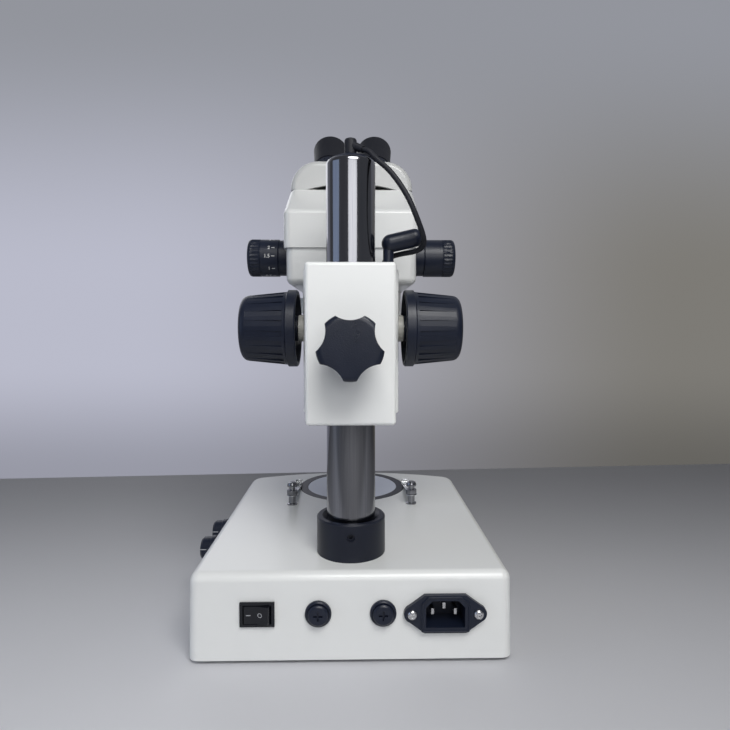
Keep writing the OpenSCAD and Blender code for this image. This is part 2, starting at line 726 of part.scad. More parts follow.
// Clamp block with the pillar bore, and the rack housing with the dovetail way
module focus_bracket() color("white") difference() {
    union() {
        soft_box(block_w / 2, shaft_y + 2, block_back, block_lo, block_hi, block_round);
        soft_box(rack_w / 2, rack_front, shaft_y + 12, rack_lo, rack_hi, 2);
    }
    translate([0, pillar_y, 0]) cylinder(r = pillar_d / 2 + run, h = 300, $fn = 96);
    bar_y(clamp_d + 0.2, 0, pillar_y, block_back + 1, star_z);
    bar_x(bush_d, -rack_w, rack_w, shaft_y, shaft_z);
    bar_x(2 * pitch_r + 4, -pinion_w / 2 - 1, pinion_w / 2 + 1, shaft_y, shaft_z);
    translate([0, rack_front, 0]) linear_extrude(300)
        polygon([[-tail_mouth, -1], [tail_mouth, -1], [tail_mouth, 0], [tail_floor, tail_deep],
            [-tail_floor, tail_deep], [-tail_mouth, 0]]);
}

module clamp_screw() color("#8d9095") {
    bar_y(clamp_d, 0, pillar_y + pillar_d / 2 + 0.2, star_face - star_t + 4, star_z);
}

// Star knob of five broad lobes, one of them down, with hollows turned out between them
module clamp_knob() color("#1c1c1e") translate([0, star_face - star_t, star_z]) rotate([-90, 0, 0])
    difference() {
        union() {
            rotate_extrude($fn = 96) polygon([[0, 0], [star_r - 1.2, 0], [star_r - 0.3, 0.4],
                [star_r, 1.4], [star_r, star_t - 2.4], [star_r - 0.5, star_t - 1.1],
                [star_r - 1.8, star_t - 0.3], [star_r - 3.4, star_t], [0, star_t]]);
            translate([0, 0, -6.5]) cylinder(d1 = 15, d2 = 18, h = 6.6);
        }
        for (i = [0:4]) rotate([0, 0, 126 + 72 * i])
            translate([star_waist + scallop_r, 0, -1]) cylinder(r = scallop_r, h = star_t + 2);
        translate([0, 0, -7]) cylinder(d = clamp_d, h = 11);
    }

module shaft_bushes() color("#dcdcd8") for (side = [0, 1]) mirror([side, 0, 0])
    translate([bush_in, shaft_y, shaft_z]) rotate([0, 90, 0]) difference() {
        union() {
            cylinder(d = bush_d - 0.1, h = rack_w / 2 - bush_in + eps);
            translate([0, 0, rack_w / 2 - bush_in]) cylinder(d = boss_od, h = boss_out);
        }
        translate([0, 0, -1]) cylinder(r = shaft_d / 2 + run, h = 60);
    }

// A round ended hook on a post, which the lamp lead is led round
module lead_hook() color("#1a1a1c") {
    along = hook_b - hook_a;
    long = norm(along);
    translate(hook_a) rotate([0, acos(along[2] / long), atan2(along[1], along[0])])
        rotate_extrude() polygon(concat(
            [for (i = [0:8]) let (a = -90 + i * 11.25) hook_r * [max(cos(a), 0), sin(a)]],
            [for (i = [0:8]) let (a = i * 11.25) [hook_r * max(cos(a), 0), long + hook_r * sin(a)]]));
    translate([hook_post[0], hook_post[1], block_hi]) cylinder(d = 7, h = hook_a[2] - block_hi);
}

// Plate on the rack housing with two ears for the lamp and the gland of its lead
module lamp_arm() color("#2b2b2f") difference() {
    union() {
        translate([gland_x - 4, rack_front - 3, lamp_z - 4])
            cube([4 - gland_x + ear_in + ear_t, 3, gland_z - lamp_z + 5]);
        for (side = [0, 1]) mirror([side, 0, 0]) {
            translate([ear_in, lamp_y, lamp_z - 4]) cube([ear_t, rack_front - lamp_y - 2, 8]);
            bar_x(8, ear_in, ear_in + ear_t, lamp_y, lamp_z);
        }
        translate([gland_x, gland_y, gland_z - 8]) cylinder(d = 6, h = 8);
        translate([gland_x - 3, gland_y, gland_z - 8]) cube([6, rack_front - gland_y - 2, 6]);
    }
    bar_x(2 * lamp_pin + 0.1, -30, 30, lamp_y, lamp_z);
}

// Lamp housing on its trunnion, aimed at the middle of the stage, with cooling slots
module lamp_housing() color("#232326") {
    difference() {
        translate([0, lamp_y, lamp_z]) rotate([lamp_aim - 90, 0, 0]) translate([0, 0, -lamp_fwd]) {
            rotate_extrude() polygon([[0, 6], [lamp_r - 2, 4], [lamp_r - 1.4, 0], [lamp_r, 0.6],
                [lamp_r, lamp_fwd + lamp_aft - 2], [lamp_r - 2, lamp_fwd + lamp_aft],
                [0, lamp_fwd + lamp_aft]]);
        }
        translate([0, lamp_y, lamp_z]) rotate([lamp_aim - 90, 0, 0])
            for (i = [0:3]) translate([0, 0, -6 - 3 * i]) difference() {
                cylinder(r = lamp_r + 1, h = 1.2);
                translate([0, 0, -1]) cylinder(r = lamp_r - 1.2, h = 4);
            }
    }
    bar_x(2 * lamp_pin, -ear_in - ear_t - 1, ear_in + ear_t + 1, lamp_y, lamp_z);
}

module lamp_lens() color("#e6f0ff") translate([0, lamp_y, lamp_z]) rotate([lamp_aim - 90, 0, 0])
    translate([0, 0, -lamp_fwd]) rotate_extrude() polygon([[0, 1], [lamp_r - 3, 2.4],
        [lamp_r - 2.2, 3.8], [0, 5.6]]);

// Involute flank of the pinion, as a radius and a half thickness angle
base_r = pitch_r * cos(press);
function inv_at(r) = r <= base_r ? 0 : tan(acos(base_r / r)) * 180 / PI - acos(base_r / r);
half_tooth = 90 / pinion_teeth - backlash / 2 / pitch_r * 180 / PI;
function flank(r) = half_tooth + inv_at(pitch_r) - inv_at(r);
tip_r = pitch_r + pinion_add;
root_r = pitch_r - pinion_ded;
flank_rs = [root_r, base_r, pitch_r - 0.1, pitch_r + 0.3, tip_r];
pinion_outline = [for (t = [0:pinion_teeth - 1]) let (mid = -90 + t * 360 / pinion_teeth)
    each concat(
        [for (i = [0:4]) let (a = mid - flank(flank_rs[i])) flank_rs[i] * [cos(a), sin(a)]],
        [for (i = [4:-1:0]) let (a = mid + flank(flank_rs[i])) flank_rs[i] * [cos(a), sin(a)]])];

module pinion_shaft() color("#b9bcc0") {
    bar_x(shaft_d, -knob_end + 8.2, knob_end - 8.2, shaft_y, shaft_z);
    translate([-pinion_w / 2, shaft_y, shaft_z]) rotate([90, 0, 90]) linear_extrude(pinion_w)
        rotate([0, 0, -90]) polygon(pinion_outline);
}

// A tapered, grooved knob, hollow on the side that faces the bracket
module focus_knob() {
    in_x = rack_w / 2 + boss_out + 0.6;
    long = knob_end - in_x;
    r0 = knob_d / 2;
    rotate([0, 90, 0]) difference() {
        rotate_extrude($fn = 96) polygon(concat(
            [[shaft_d / 2 + 0.02, in_x], [9, in_x], [9, in_x + 18], [r0 - 5, in_x + 18],
                [r0 - 3, in_x], [r0 - 0.8, in_x], [r0, in_x + 0.8], [r0, in_x + 6.4],
                [r0 - 1.3, in_x + 7.2]],
            [for (i = [0:5]) let (a = i * 18)
                [r0 - 4 - 5 + 5 * cos(a), knob_end - 5 + 5 * sin(a)]],
            [[15, knob_end], [14, knob_end - 0.6], [0, knob_end - 0.6],
                [0, in_x + long - 8], [shaft_d / 2 + 0.02, in_x + long - 8]]));
        for (i = [0:knob_grooves - 1]) rotate([0, 0, i * 360 / knob_grooves])
            translate([r0 - 1.4, 0, in_x + 9]) rotate([0, -4, 0])
                translate([-1, -1.9, 0]) cube([4, 3.8, long - 14]);
    }
}

module focus_knob_right() color("#1d1d20") translate([0, shaft_y, shaft_z]) focus_knob();

module focus_knob_left() color("#1d1d20") translate([0, shaft_y, shaft_z]) mirror([1, 0, 0])
    focus_knob();

// Slide plate with the male dovetail, slotted for the rack
module focus_slide() color("#c8cbcf") difference() {
    union() {
        translate([-slide_half, rack_front - slide_t - 0.4, slide_lo])
            cube([2 * slide_half, slide_t, slide_hi - slide_lo]);
        translate([0, rack_front, slide_lo]) linear_extrude(slide_hi - slide_lo)
            polygon([[-tail_mouth + 0.15, -1], [tail_mouth - 0.15, -1], [tail_mouth - 0.15, 0.05],
                [tail_floor - 0.2, tail_deep - 0.25], [-tail_floor + 0.2, tail_deep - 0.25],
                [-tail_mouth + 0.15, 0.05]]);
    }
    translate([-rack_half_w - 0.1, rack_seat_y, slide_lo - 1])
        cube([2 * rack_half_w + 0.2, 20, slide_hi - slide_lo + 2]);
}

// Rack with straight flanked teeth, its gap in the middle takes a pinion tooth
module focus_rack() color("#9a9da2") {
    p = PI * tooth_m;
    half = p / 4 - backlash / 2;
    tip = half - rack_add * tan(press);
    root = half + rack_ded * tan(press);
    teeth = [for (k = [-rack_teeth_n / 2:rack_teeth_n / 2 - 1]) let (mid = (k + 0.5) * p)
        each [[rack_pitch_y - rack_ded, mid - root], [rack_pitch_y + rack_add, mid - tip],
            [rack_pitch_y + rack_add, mid + tip], [rack_pitch_y - rack_ded, mid + root]]];
    end = rack_teeth_n / 2 * p;
    translate([-rack_half_w, 0, shaft_z]) rotate([90, 0, 90]) linear_extrude(2 * rack_half_w)
        polygon(concat([[rack_seat_y, -end], [rack_pitch_y - rack_ded, -end]], teeth,
            [[rack_pitch_y - rack_ded, end], [rack_seat_y, end]]));
}

// Arm and ring that carry the head on the slide
module head_ring() color("white") difference() {
    union() {
        translate([0, 0, holder_top - holder_h]) cylinder(r = holder_r, h = holder_h, $fn = 96);
        translate([0, 0, holder_top - holder_h + 2]) linear_extrude(arm_h)
            polygon([[-arm_half - 8, 30], [arm_half + 8, 30],
                [arm_half, rack_front - slide_t - 0.4], [-arm_half, rack_front - slide_t - 0.4]]);
        bar_x(14, holder_r - 3, holder_r + 3, 0, ring_screw_z);
    }
    translate([0, 0, 100]) cylinder(r = flange_d / 2 + run, h = 150, $fn = 96);
    bar_x(6.1, 10, holder_r + 10, 0, ring_screw_z);
}

module ring_screw() color("#232326") {
    bar_x(6, flange_d / 2 + 0.3, holder_r + 6, 0, ring_screw_z);
    translate([holder_r + 5, 0, ring_screw_z]) rotate([0, 90, 0]) difference() {
        rotate_extrude() polygon([[0, 0], [5, 0], [5, 1.5], [8, 2.5], [8.5, 3], [8.5, 10],
            [7.8, 10.8], [0, 10.8]]);
        for (i = [0:11]) rotate([0, 0, i * 30])
            translate([9, 0, 1]) cylinder(r = 1.3, h = 12, $fn = 24);
    }
}

// Spots where the rounding of the head shells is centred, for one half width
module head_posts(half, front, back, z, h) {
    for (sx = [-1, 1]) for (y = [-front + head_round, back - head_round])
        translate([sx * (half - head_round), y, z]) cylinder(r = head_round, h = h, $fn = 32);
}

module head_lower() color("white") {
    half = head_w / 2 - head_step;
    back = head_back - head_step;
    front = head_front - head_step;
    difference() {
        union() {
            hull() {
                head_posts(half, front, back, seam_z - 1, 1);
                for (sx = [-1, 1]) for (y = [-front + head_round, back - head_round])
                    translate([sx * (half - head_round), y, head_z + head_round])
                        sphere(r = head_round, $fn = 24);
            }
            translate([0, 0, nose_flange_z - 0.5])
                cylinder(d = flange_d, h = head_z - nose_flange_z + 3, $fn = 96);
        }
        translate([-half + head_wall, -front + head_wall, head_z + head_wall])
            cube([2 * (half - head_wall), front + back - 2 * head_wall, lower_h]);
        translate([0, 0, 100]) cylinder(d = nose_d - 6, h = 150);
        translate([0, 0, nose_flange_z - 1]) cylinder(d = nose_d + 0.2, h = 6);
        bar_x(zoom_shaft_d + 2 * run, -head_w, head_w, zoom_y, zoom_z);
    }
}

// Form of the upper shell: steep back, sloping roof, flat top and a leaning brow
module upper_form(r, lift) {
    hull() for (sx = [-1, 1]) translate([sx * (head_w / 2 - head_round), 0, 0]) {
        for (y = [-head_front + head_round, head_back - head_round])
            translate([0, y, seam_z - lift]) cylinder(r = r, h = 1, $fn = 24);
        for (p = [[head_back - head_round, seam_z + rear_h - head_round],
                [roof_y, roof_z - head_round],
                [roof_z - brow_k + 3, roof_z - head_round],
                [-head_front + head_round, brow_k - head_front - 3]])
            translate([0, p[0], p[1]]) sphere(r = r, $fn = 24);
    }
}

module head_upper() color("white") difference() {
    upper_form(head_round, 0);
    upper_form(head_round - head_wall, 1.5);
    translate([0, 0, roof_z - 10]) cylinder(r = 24, h = 20);
    bar_x(zoom_shaft_d + 2 * run, -head_w, head_w, zoom_y, zoom_z);
    for (side = [-1, 1]) leaning()
        translate([side * drum_x, drum_u, brow_s - 8]) cylinder(r = spigot_r + run, h = 20);
}

// Form of the hood: two round ridges side by side, rounded at the rear, cut level and leaning
module hood_form(inset) {
    difference() {
        hull() for (side = [-1, 1]) translate([side * drum_x, 0, hood_z]) rotate([90, 0, 0]) {
            translate([0, 0, hood_round - roof_y]) rotate_extrude($fn = 64)
                translate([hood_r - hood_round, 0]) circle(r = hood_round - inset, $fn = 24);
            translate([0, 0, 60]) cylinder(r = hood_r - inset, h = 1, $fn = 64);
        }
        translate([-100, -100, roof_z - 100 - inset]) cube([200, 200, 100]);
        leaning() translate([-100, 0, brow_s - inset]) cube([200, 400, 100]);
    }
}

// Hood over the prisms, with a low arched recess at the bottom of its rear face
module prism_hood() color("white") {
    arch_r = (arch_w * arch_w + arch_h * arch_h) / 2 / arch_h;
    difference() {
        hood_form(0);
        hood_form(head_wall);
        translate([0, 0, roof_z + arch_h - arch_r]) rotate([90, 0, 0])
            translate([0, 0, -roof_y - 1]) cylinder(r = arch_r, h = arch_deep, $fn = 128);
    }
}

// Objective housing that screws up into the head, threaded below for an auxiliary lens
module objective_barrel() color("#e8e8e4") difference() {
    rotate_extrude($fn = 96) polygon([[24, work_dist], [27.2, work_dist], [28, work_dist + 0.8],
        [28, work_dist + 9], [nose_d / 2 - 0.6, work_dist + 14], [nose_d / 2, work_dist + 15],
        [nose_d / 2, nose_flange_z + 4.8], [nose_d / 2 - 4, nose_flange_z + 4.8],
        [nose_d / 2 - 4, work_dist + 16], [24, work_dist + 16], [24, work_dist + 14],
        [0, work_dist + 14], [0, work_dist + 9], [24, work_dist + 9]]);
    for (side = [-1, 1])
        translate([side * 12, 0, work_dist]) cylinder(d = 20, h = 40);
}

module objective_lens() color("#b8d4ff") for (side = [-1, 1])
    translate([side * 12, 0, work_dist + 9.5]) rotate_extrude() polygon([[0, -0.6], [5, -0.3],
        [9.9, 0.8], [9.9, 3.2], [5, 4.2], [0, 4.5]]);

// Shaft right through the head with the two cams that shift the zoom lenses
module zoom_shaft() color("#a9acb1") {
    bar_x(zoom_shaft_d, -zoom_end + 4, zoom_end - 4, zoom_y, zoom_z);
    for (side = [0, 1]) mirror([side, 0, 0]) difference() {
        bar_x(24, 6, 22, zoom_y, zoom_z);
        for (i = [0:5])
            bar_x(4, 5, 23, zoom_y + 8 * cos(60 * i), zoom_z + 8 * sin(60 * i));
    }
}

// A zoom knob: smooth number sleeve by the head and a fluted outer grip
module zoom_knob() {
    in_x = head_w / 2 + 0.5;
    mid = in_x + 14;
    r = zoom_d / 2;
    rotate([0, 90, 0]) difference() {
        rotate_extrude() polygon([[zoom_shaft_d / 2 + 0.02, in_x], [r - 0.8, in_x],
            [r - 0.8, mid - 0.6], [r - 1.6, mid], [r - 1.6, mid + 0.8], [r, mid + 1.4],
            [r, zoom_end - 2.6], [r - 0.7, zoom_end - 0.8], [r - 2.5, zoom_end], [9, zoom_end],
            [8.4, zoom_end - 0.8], [0, zoom_end - 0.8], [0, zoom_end - 3.6],
            [zoom_shaft_d / 2 + 0.02, zoom_end - 3.6]]);
        for (i = [0:29]) rotate([0, 0, i * 12])
            translate([r + 0.3, 0, mid + 2.6]) cylinder(r = 0.8, h = zoom_end - mid - 6, $fn = 16);
    }
}

module zoom_knob_right() color("#1d1d20") translate([0, zoom_y, zoom_z]) zoom_knob();

module zoom_knob_left() color("#1d1d20") translate([0, zoom_y, zoom_z]) mirror([1, 0, 0])
    zoom_knob();

// A prism drum on its spigot, drawn in to the eyepiece tube off its axis
module eye_drum() leaning() difference() {
    union() {
        translate([drum_x, drum_u, drum_s]) {
            rotate_extrude($fn = 96) polygon(concat(
                [[0, 0], [drum_r - 0.6, 0], [drum_r, 0.6]],
                [for (i = [0:6]) let (a = i * 15)
                    [drum_r - 4 + 4 * cos(a), drum_h - 4 + 4 * sin(a)]],
                [[0, drum_h]]));
            translate([0, 0, -spigot_len]) cylinder(r = spigot_r, h = spigot_len + 1);
        }
        hull() {
            translate([drum_x, drum_u, drum_s + drum_h - 1]) cylinder(r = drum_r - 4, h = 1, $fn = 48);
            translate([cup_x, cup_u, tube_s - 1]) cylinder(r = tube_d / 2, h = 1, $fn = 48);
        }
        translate([cup_x, cup_u, tube_s - 0.5]) cylinder(d = tube_d, h = tube_len + 0.5);
    }
    translate([cup_x, cup_u, tube_s - 12]) cylinder(d = eyepiece_d + 0.1, h = tube_len + 20);
}

module eye_drum_right() color("white") eye_drum();

module eye_drum_left() color("white") mirror([1, 0, 0]) eye_drum();

// Turns to focus one eyepiece, with a coarse grip
module dioptre_ring() leaning() translate([cup_x, cup_u, dioptre_s]) difference() {
    rotate_extrude() polygon([[eyepiece_d / 2 + 0.02, air], [dioptre_r - 0.4, air],
        [dioptre_r, air + 0.5], [dioptre_r, dioptre_h - 0.6],
        [dioptre_r - 0.6, dioptre_h], [eyepiece_d / 2 + 0.02, dioptre_h]]);
    for (i = [0:23]) rotate([0, 0, i * 15])
        translate([dioptre_r + 0.4, 0, 2.5]) cylinder(r = 0.9, h = dioptre_h - 4.5, $fn = 16);
}

module dioptre_ring_right() color("#222225") dioptre_ring();

module dioptre_ring_left() color("#222225") mirror([1, 0, 0]) dioptre_ring();

// Eyepiece barrel that goes down the tube, with a shoulder and a hollow for the lens
module eyepiece() leaning() translate([cup_x, cup_u, 0]) rotate_extrude() polygon([
    [11, tube_s + 2], [eyepiece_d / 2, tube_s + 2], [eyepiece_d / 2, dioptre_s + dioptre_h],
    [ocular_r, dioptre_s + dioptre_h], [ocular_r, cup_s - 0.4],
    [ocular_r - 0.4, cup_s], [sleeve_r, cup_s], [sleeve_r, lens_s + 7],
    [sleeve_r - 0.6, lens_s + 7.6], [12, lens_s + 7.6], [11.4, lens_s + 5.2], [11.4, lens_s],
    [11, lens_s]]);

module eyepiece_right() color("#202023") eyepiece();

module eyepiece_left() color("#202023") mirror([1, 0, 0]) eyepiece();

module eye_lens() leaning() translate([cup_x, cup_u, lens_s]) rotate_extrude()
    polygon([[0, 0], [11.3, 0], [11.3, 2.6], [7, 4], [0, 4.6]]);

module eye_lens_right() color("#a8c4e8") eye_lens();

module eye_lens_left() color("#a8c4e8") mirror([1, 0, 0]) eye_lens();

// Soft rubber cup that flares to a rolled rim
module eyecup() leaning() translate([cup_x, cup_u, cup_s]) rotate_extrude($fn = 96) polygon(concat(
    [[sleeve_r + 0.02, 0], [ocular_r + 0.6, 0], [ocular_r + 0.8, 8], [ocular_r + 1.2, 20],
        [cup_d / 2 - 0.5, cup_h - 8]],
    [for (i = [0:6]) let (a = -10 + i * 30) [cup_d / 2 - 1.6 + 1.6 * cos(a), cup_h - 1.6 + 1.6 * sin(a)]],
    [[cup_d / 2 - 2.6, cup_h - 8], [sleeve_r + 0.8, 22], [sleeve_r + 0.02, 20]]));

module eyecup_right() color("#17171a") eyecup();

module eyecup_left() color("#17171a") mirror([1, 0, 0]) eyecup();

base_housing();
base_cover();
panel_screws();
rubber_feet();
stage_ring();
stage_plate();
clip_posts();
clip_spring_left();
clip_spring_right();
pillar_collar();
switch_frame();
switch_rocker();
fuse_holders();
fuse_cap_left();
fuse_cap_right();
mains_inlet();
inlet_pins();
power_board();
base_lamp();
dimmers();
brightness_knob_front();
brightness_knob_rear();
pillar();
pillar_socket();
lamp_plug();
lamp_lead();
lead_tail();
focus_bracket();
clamp_screw();
clamp_knob();
shaft_bushes();
lead_hook();
lamp_arm();
lamp_housing();
lamp_lens();
pinion_shaft();
focus_knob_left();
focus_knob_right();
focus_slide();
focus_rack();
head_ring();
ring_screw();
head_lower();
head_upper();
prism_hood();
objective_barrel();
objective_lens();
zoom_shaft();
zoom_knob_left();
zoom_knob_right();
eye_drum_left();
eye_drum_right();
dioptre_ring_left();
dioptre_ring_right();
eyepiece_left();
eyepiece_right();
eye_lens_left();
eye_lens_right();
eyecup_left();
eyecup_right();
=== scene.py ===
# %% [markdown]
# A binocular stereo microscope, dressed for a studio picture.
# The solids of the instrument come ready made, each in its place and riding on its own body.
# This lesson gives them their finishes and rounds their edges. Then it adds what is too fine for
# the solids: fluted zoom knobs, numbers, marks, the inlet's lip and the lamp's lead as one cable.

import json
from math import atan2, cos, degrees, pi, radians, sin

import bpy
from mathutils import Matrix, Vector


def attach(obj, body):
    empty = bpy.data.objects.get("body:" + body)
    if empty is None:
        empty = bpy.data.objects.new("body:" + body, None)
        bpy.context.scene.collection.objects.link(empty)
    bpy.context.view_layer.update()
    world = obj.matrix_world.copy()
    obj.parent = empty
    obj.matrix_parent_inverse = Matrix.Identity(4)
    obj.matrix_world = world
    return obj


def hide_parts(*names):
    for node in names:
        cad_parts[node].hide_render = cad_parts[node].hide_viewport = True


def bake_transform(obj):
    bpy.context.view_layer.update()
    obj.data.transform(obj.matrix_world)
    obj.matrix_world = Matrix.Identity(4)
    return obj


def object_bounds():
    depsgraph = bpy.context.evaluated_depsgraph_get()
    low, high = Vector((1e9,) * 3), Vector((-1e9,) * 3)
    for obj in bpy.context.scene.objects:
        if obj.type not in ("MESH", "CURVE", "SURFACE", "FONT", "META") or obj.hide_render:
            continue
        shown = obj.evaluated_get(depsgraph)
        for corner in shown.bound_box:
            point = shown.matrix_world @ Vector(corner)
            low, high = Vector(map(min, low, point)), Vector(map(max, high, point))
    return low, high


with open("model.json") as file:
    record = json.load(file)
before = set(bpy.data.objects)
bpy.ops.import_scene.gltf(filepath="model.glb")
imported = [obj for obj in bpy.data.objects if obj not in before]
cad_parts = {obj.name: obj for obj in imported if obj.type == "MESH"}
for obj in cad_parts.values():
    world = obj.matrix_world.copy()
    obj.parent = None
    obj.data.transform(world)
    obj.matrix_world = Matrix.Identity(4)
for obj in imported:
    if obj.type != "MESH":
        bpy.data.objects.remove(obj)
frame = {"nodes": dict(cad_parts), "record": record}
solid_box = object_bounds()
MM = 0.001

# %% [markdown]
# The camera stands behind the microscope, a little above the focus knobs. Its place and lens
# were worked out from the base, the pillar and the knobs, so that the picture lines up with the
# photograph. A small shift frames it without tilting the upright lines. Seen from here, +X
# points to the left.

# %% Camera
CAMERA_PLACE = (-2.7 * MM, 519.6 * MM, 147.5 * MM)
CAMERA_PITCH = 2.46  # degrees downwards
CAMERA_YAW = 1.16
CAMERA_LENS = 27.65
CAMERA_SHIFT = (-0.0018, -0.0182)
bpy.ops.object.select_all(action="DESELECT")
bpy.ops.object.camera_add(
    location=CAMERA_PLACE,
    rotation=(radians(90 - CAMERA_PITCH), 0, radians(180 - CAMERA_YAW)),
)
camera = bpy.context.object
camera.name = "rear_camera"
camera.data.lens = CAMERA_LENS
camera.data.sensor_width = 36
camera.data.shift_x, camera.data.shift_y = CAMERA_SHIFT
camera.data.clip_start = 0.01
bpy.context.scene.camera = camera
print("camera", camera.name, "lens", camera.data.lens)

# %% [markdown]
# Every finish is a small tree of shader nodes. Writing the sums of such a tree as plain Python is
# far easier to read than wiring nodes one by one, so one class wraps a socket and turns each
# operator into a Math node.

# %% Sockets that can be added and multiplied
class Value:
    def __init__(self, tree, socket):
        self.tree = tree
        self.socket = socket

    def _sum(self, operation, first, second):
        return self.tree.make("ShaderNodeMath", {"operation": operation}, {0: first, 1: second})

    def __add__(self, other):
        return self._sum("ADD", self, other)

    __radd__ = __add__

    def __sub__(self, other):
        return self._sum("SUBTRACT", self, other)

    def __rsub__(self, other):
        return self._sum("SUBTRACT", other, self)

    def __mul__(self, other):
        return self._sum("MULTIPLY", self, other)

    __rmul__ = __mul__

    def above(self, edge):
        return self._sum("GREATER_THAN", self, edge)

    def beside(self, output):
        """Another output of the same node."""
        return Value(self.tree, self.socket.node.outputs[output])


# %% [markdown]
# A second class holds the tree of a material or of the world and makes all other nodes. Colours
# go through its Mix nodes, because a Math node turns a colour grey.

# %% A tree of nodes
class Tree:
    def __init__(self, holder):
        holder.use_nodes = True
        self.graph = holder.node_tree

    def make(self, kind, settings, inputs, output=0):
        node = self.graph.nodes.new(kind)
        for name, setting in settings.items():
            setattr(node, name, setting)
        for name, value in inputs.items():
            self.feed(node.inputs[name], value)
        return Value(self, node.outputs[output])

    def feed(self, socket, value):
        if isinstance(value, Value):
            self.graph.links.new(value.socket, socket)
        else:
            socket.default_value = value

    def blend(self, low, high, factor):
        """A colour between two others, each of them plain or a blend itself."""
        low, high = (part if isinstance(part, Value) else (*part, 1) for part in (low, high))
        # A Mix node has sockets for each kind of value: its colours are 6 and 7 in and 2 out.
        return self.make(
            "ShaderNodeMix", {"data_type": "RGBA"}, {0: factor, 6: low, 7: high}, 2
        )


# %% [markdown]
# A finish is the tree of one material. It adds a main shader and places on the piece itself, so
# that a pattern moves with the piece. Noise read there makes clouds, grain and dust, and bump
# lets a fine grain catch the light without a single new face.

# %% A finish and its tree
class Finish(Tree):
    def __init__(self, name):
        self.material = bpy.data.materials.new(name)
        super().__init__(self.material)
        self.shader = self.graph.nodes["Principled BSDF"]
        self.place = self.make("ShaderNodeTexCoord", {}, {}, "Object")

    def noise(self, scale, detail=2.0, stretch=(1, 1, 1), rough=0.5):
        moved = self.make("ShaderNodeMapping", {}, {"Vector": self.place, "Scale": stretch})
        return self.make(
            "ShaderNodeTexNoise",
            {},
            {"Vector": moved, "Scale": scale, "Detail": detail, "Roughness": rough},
        )

    def bump(self, height, depth, strength=1.0):
        return self.make(
            "ShaderNodeBump", {}, {"Height": height, "Distance": depth, "Strength": strength}
        )

    def set(self, **sockets):
        for name, value in sockets.items():
            socket = self.shader.inputs[name.replace("_", " ")]
            if isinstance(value, tuple) and socket.type == "RGBA":
                value = (*value[:3], 1)
            self.feed(socket, value)


# %% [markdown]
# The white paint is a baked satin enamel over aluminium castings. It is almost even, with a faint
# orange peel that breaks up reflections, and it is a little greyer where hands and dust reach it.
# Bracket, head and hood each get their own batch of paint: the bracket's is lighter, as painted
# light, and the head's and the hood's are darker, as painted shade, the hood's most of all.

# %% White enamel
ENAMEL_LOW = (0.79, 0.8, 0.79)
ENAMEL_HIGH = (0.84, 0.85, 0.835)


def toned(colour, tone):
    return tuple(part * tone for part in colour)


def enamel_paint(name, tone):
    made = Finish(name)
    cloud = made.noise(14, 3)
    peel = made.noise(900, 2)
    speck = made.noise(260, 4, rough=0.7).above(0.71)
    made.set(
        Base_Color=made.blend(
            toned(ENAMEL_LOW, tone), toned(ENAMEL_HIGH, tone), cloud * (1 - speck * 0.12)
        ),
        Roughness=cloud * 0.12 + 0.27,
        Normal=made.bump(peel, 0.00004, 0.35),
        Coat_Weight=0.3,
        Coat_Roughness=0.14,
    )
    return made


# Painted light and shade: the bracket's batch is lighter and the head's and hood's are darker.
enamel = enamel_paint("base_enamel", 1.0)
bracket_enamel_painted_light = enamel_paint("bracket_enamel_painted_light", 1.09)
head_enamel_painted_shade = enamel_paint("head_enamel_painted_shade", 0.9)
hood_enamel_painted_shade = enamel_paint("hood_enamel_painted_shade", 0.68)
print("enamels:", sum(1 for kept in bpy.data.materials if "enamel" in kept.name))

# %% [markdown]
# The knobs are moulded in black plastic with a fine spark-eroded grain. Handling polishes the
# high spots, so the roughness wanders slowly while the grain stays fine and even. The star knob
# has a coarser grain than the others.

# %% Black mouldings
BLACK_TONES = ((0.005, 0.008, 0.018), (0.01, 0.0145, 0.032))
moulded = Finish("black_moulding")
moulded_cloud = moulded.noise(60, 3)
moulded_grain = moulded.noise(3200, 2)
moulded.set(
    Base_Color=moulded.blend(*BLACK_TONES, moulded_cloud),
    Roughness=moulded_cloud * 0.14 + 0.3,
    Normal=moulded.bump(moulded_grain, 0.00003, 0.45),
    Specular_IOR_Level=0.4,
)
grained = Finish("grained_black_knob")
grained_cloud = grained.noise(60, 3)
grained_coarse = grained.noise(1100, 2, rough=0.6)
grained.set(
    Base_Color=grained.blend(*BLACK_TONES, grained_cloud),
    Roughness=grained_cloud * 0.1 + 0.24,
    Normal=grained.bump(grained_coarse, 0.00012, 0.6),
)
gloss = Finish("gloss_black_moulding")
gloss_cloud = gloss.noise(90, 2)
gloss.set(
    Base_Color=(0.008, 0.009, 0.013),
    Roughness=gloss_cloud * 0.08 + 0.14,
    Specular_IOR_Level=0.35,
)
print("mouldings:", moulded.material.name, grained.material.name, gloss.material.name)

# %% [markdown]
# Rubber is duller than a moulding and gathers dust, which lifts its tone in patches. The black
# paint on rings and lamp is an even satin one.

# %% Rubber and black paint
rubber = Finish("black_rubber")
rubber_dust = rubber.noise(45, 4)
rubber.set(
    Base_Color=rubber.blend((0.008, 0.009, 0.014), (0.018, 0.019, 0.026), rubber_dust),
    Roughness=rubber_dust * 0.2 + 0.46,
    Normal=rubber.bump(rubber.noise(2200, 2), 0.00002, 0.4),
    Specular_IOR_Level=0.35,
)
satin_black = Finish("satin_black_paint")
satin_cloud = satin_black.noise(50, 2)
satin_black.set(
    Base_Color=satin_black.blend((0.006, 0.008, 0.016), (0.011, 0.014, 0.026), satin_cloud),
    Roughness=satin_cloud * 0.1 + 0.34,
    Normal=satin_black.bump(satin_black.noise(1500, 2), 0.00003, 0.3),
    Specular_IOR_Level=0.35,
)
print("finishes:", rubber.material.name, satin_black.material.name)

# %% [markdown]
# The pillar is steel tube, ground along its length and chrome plated. Plating keeps the faint
# lengthwise grain of the grinding, which draws every reflection out into upright streaks. The
# other metals are bare, and a stretched noise gives each the direction of its tool marks.

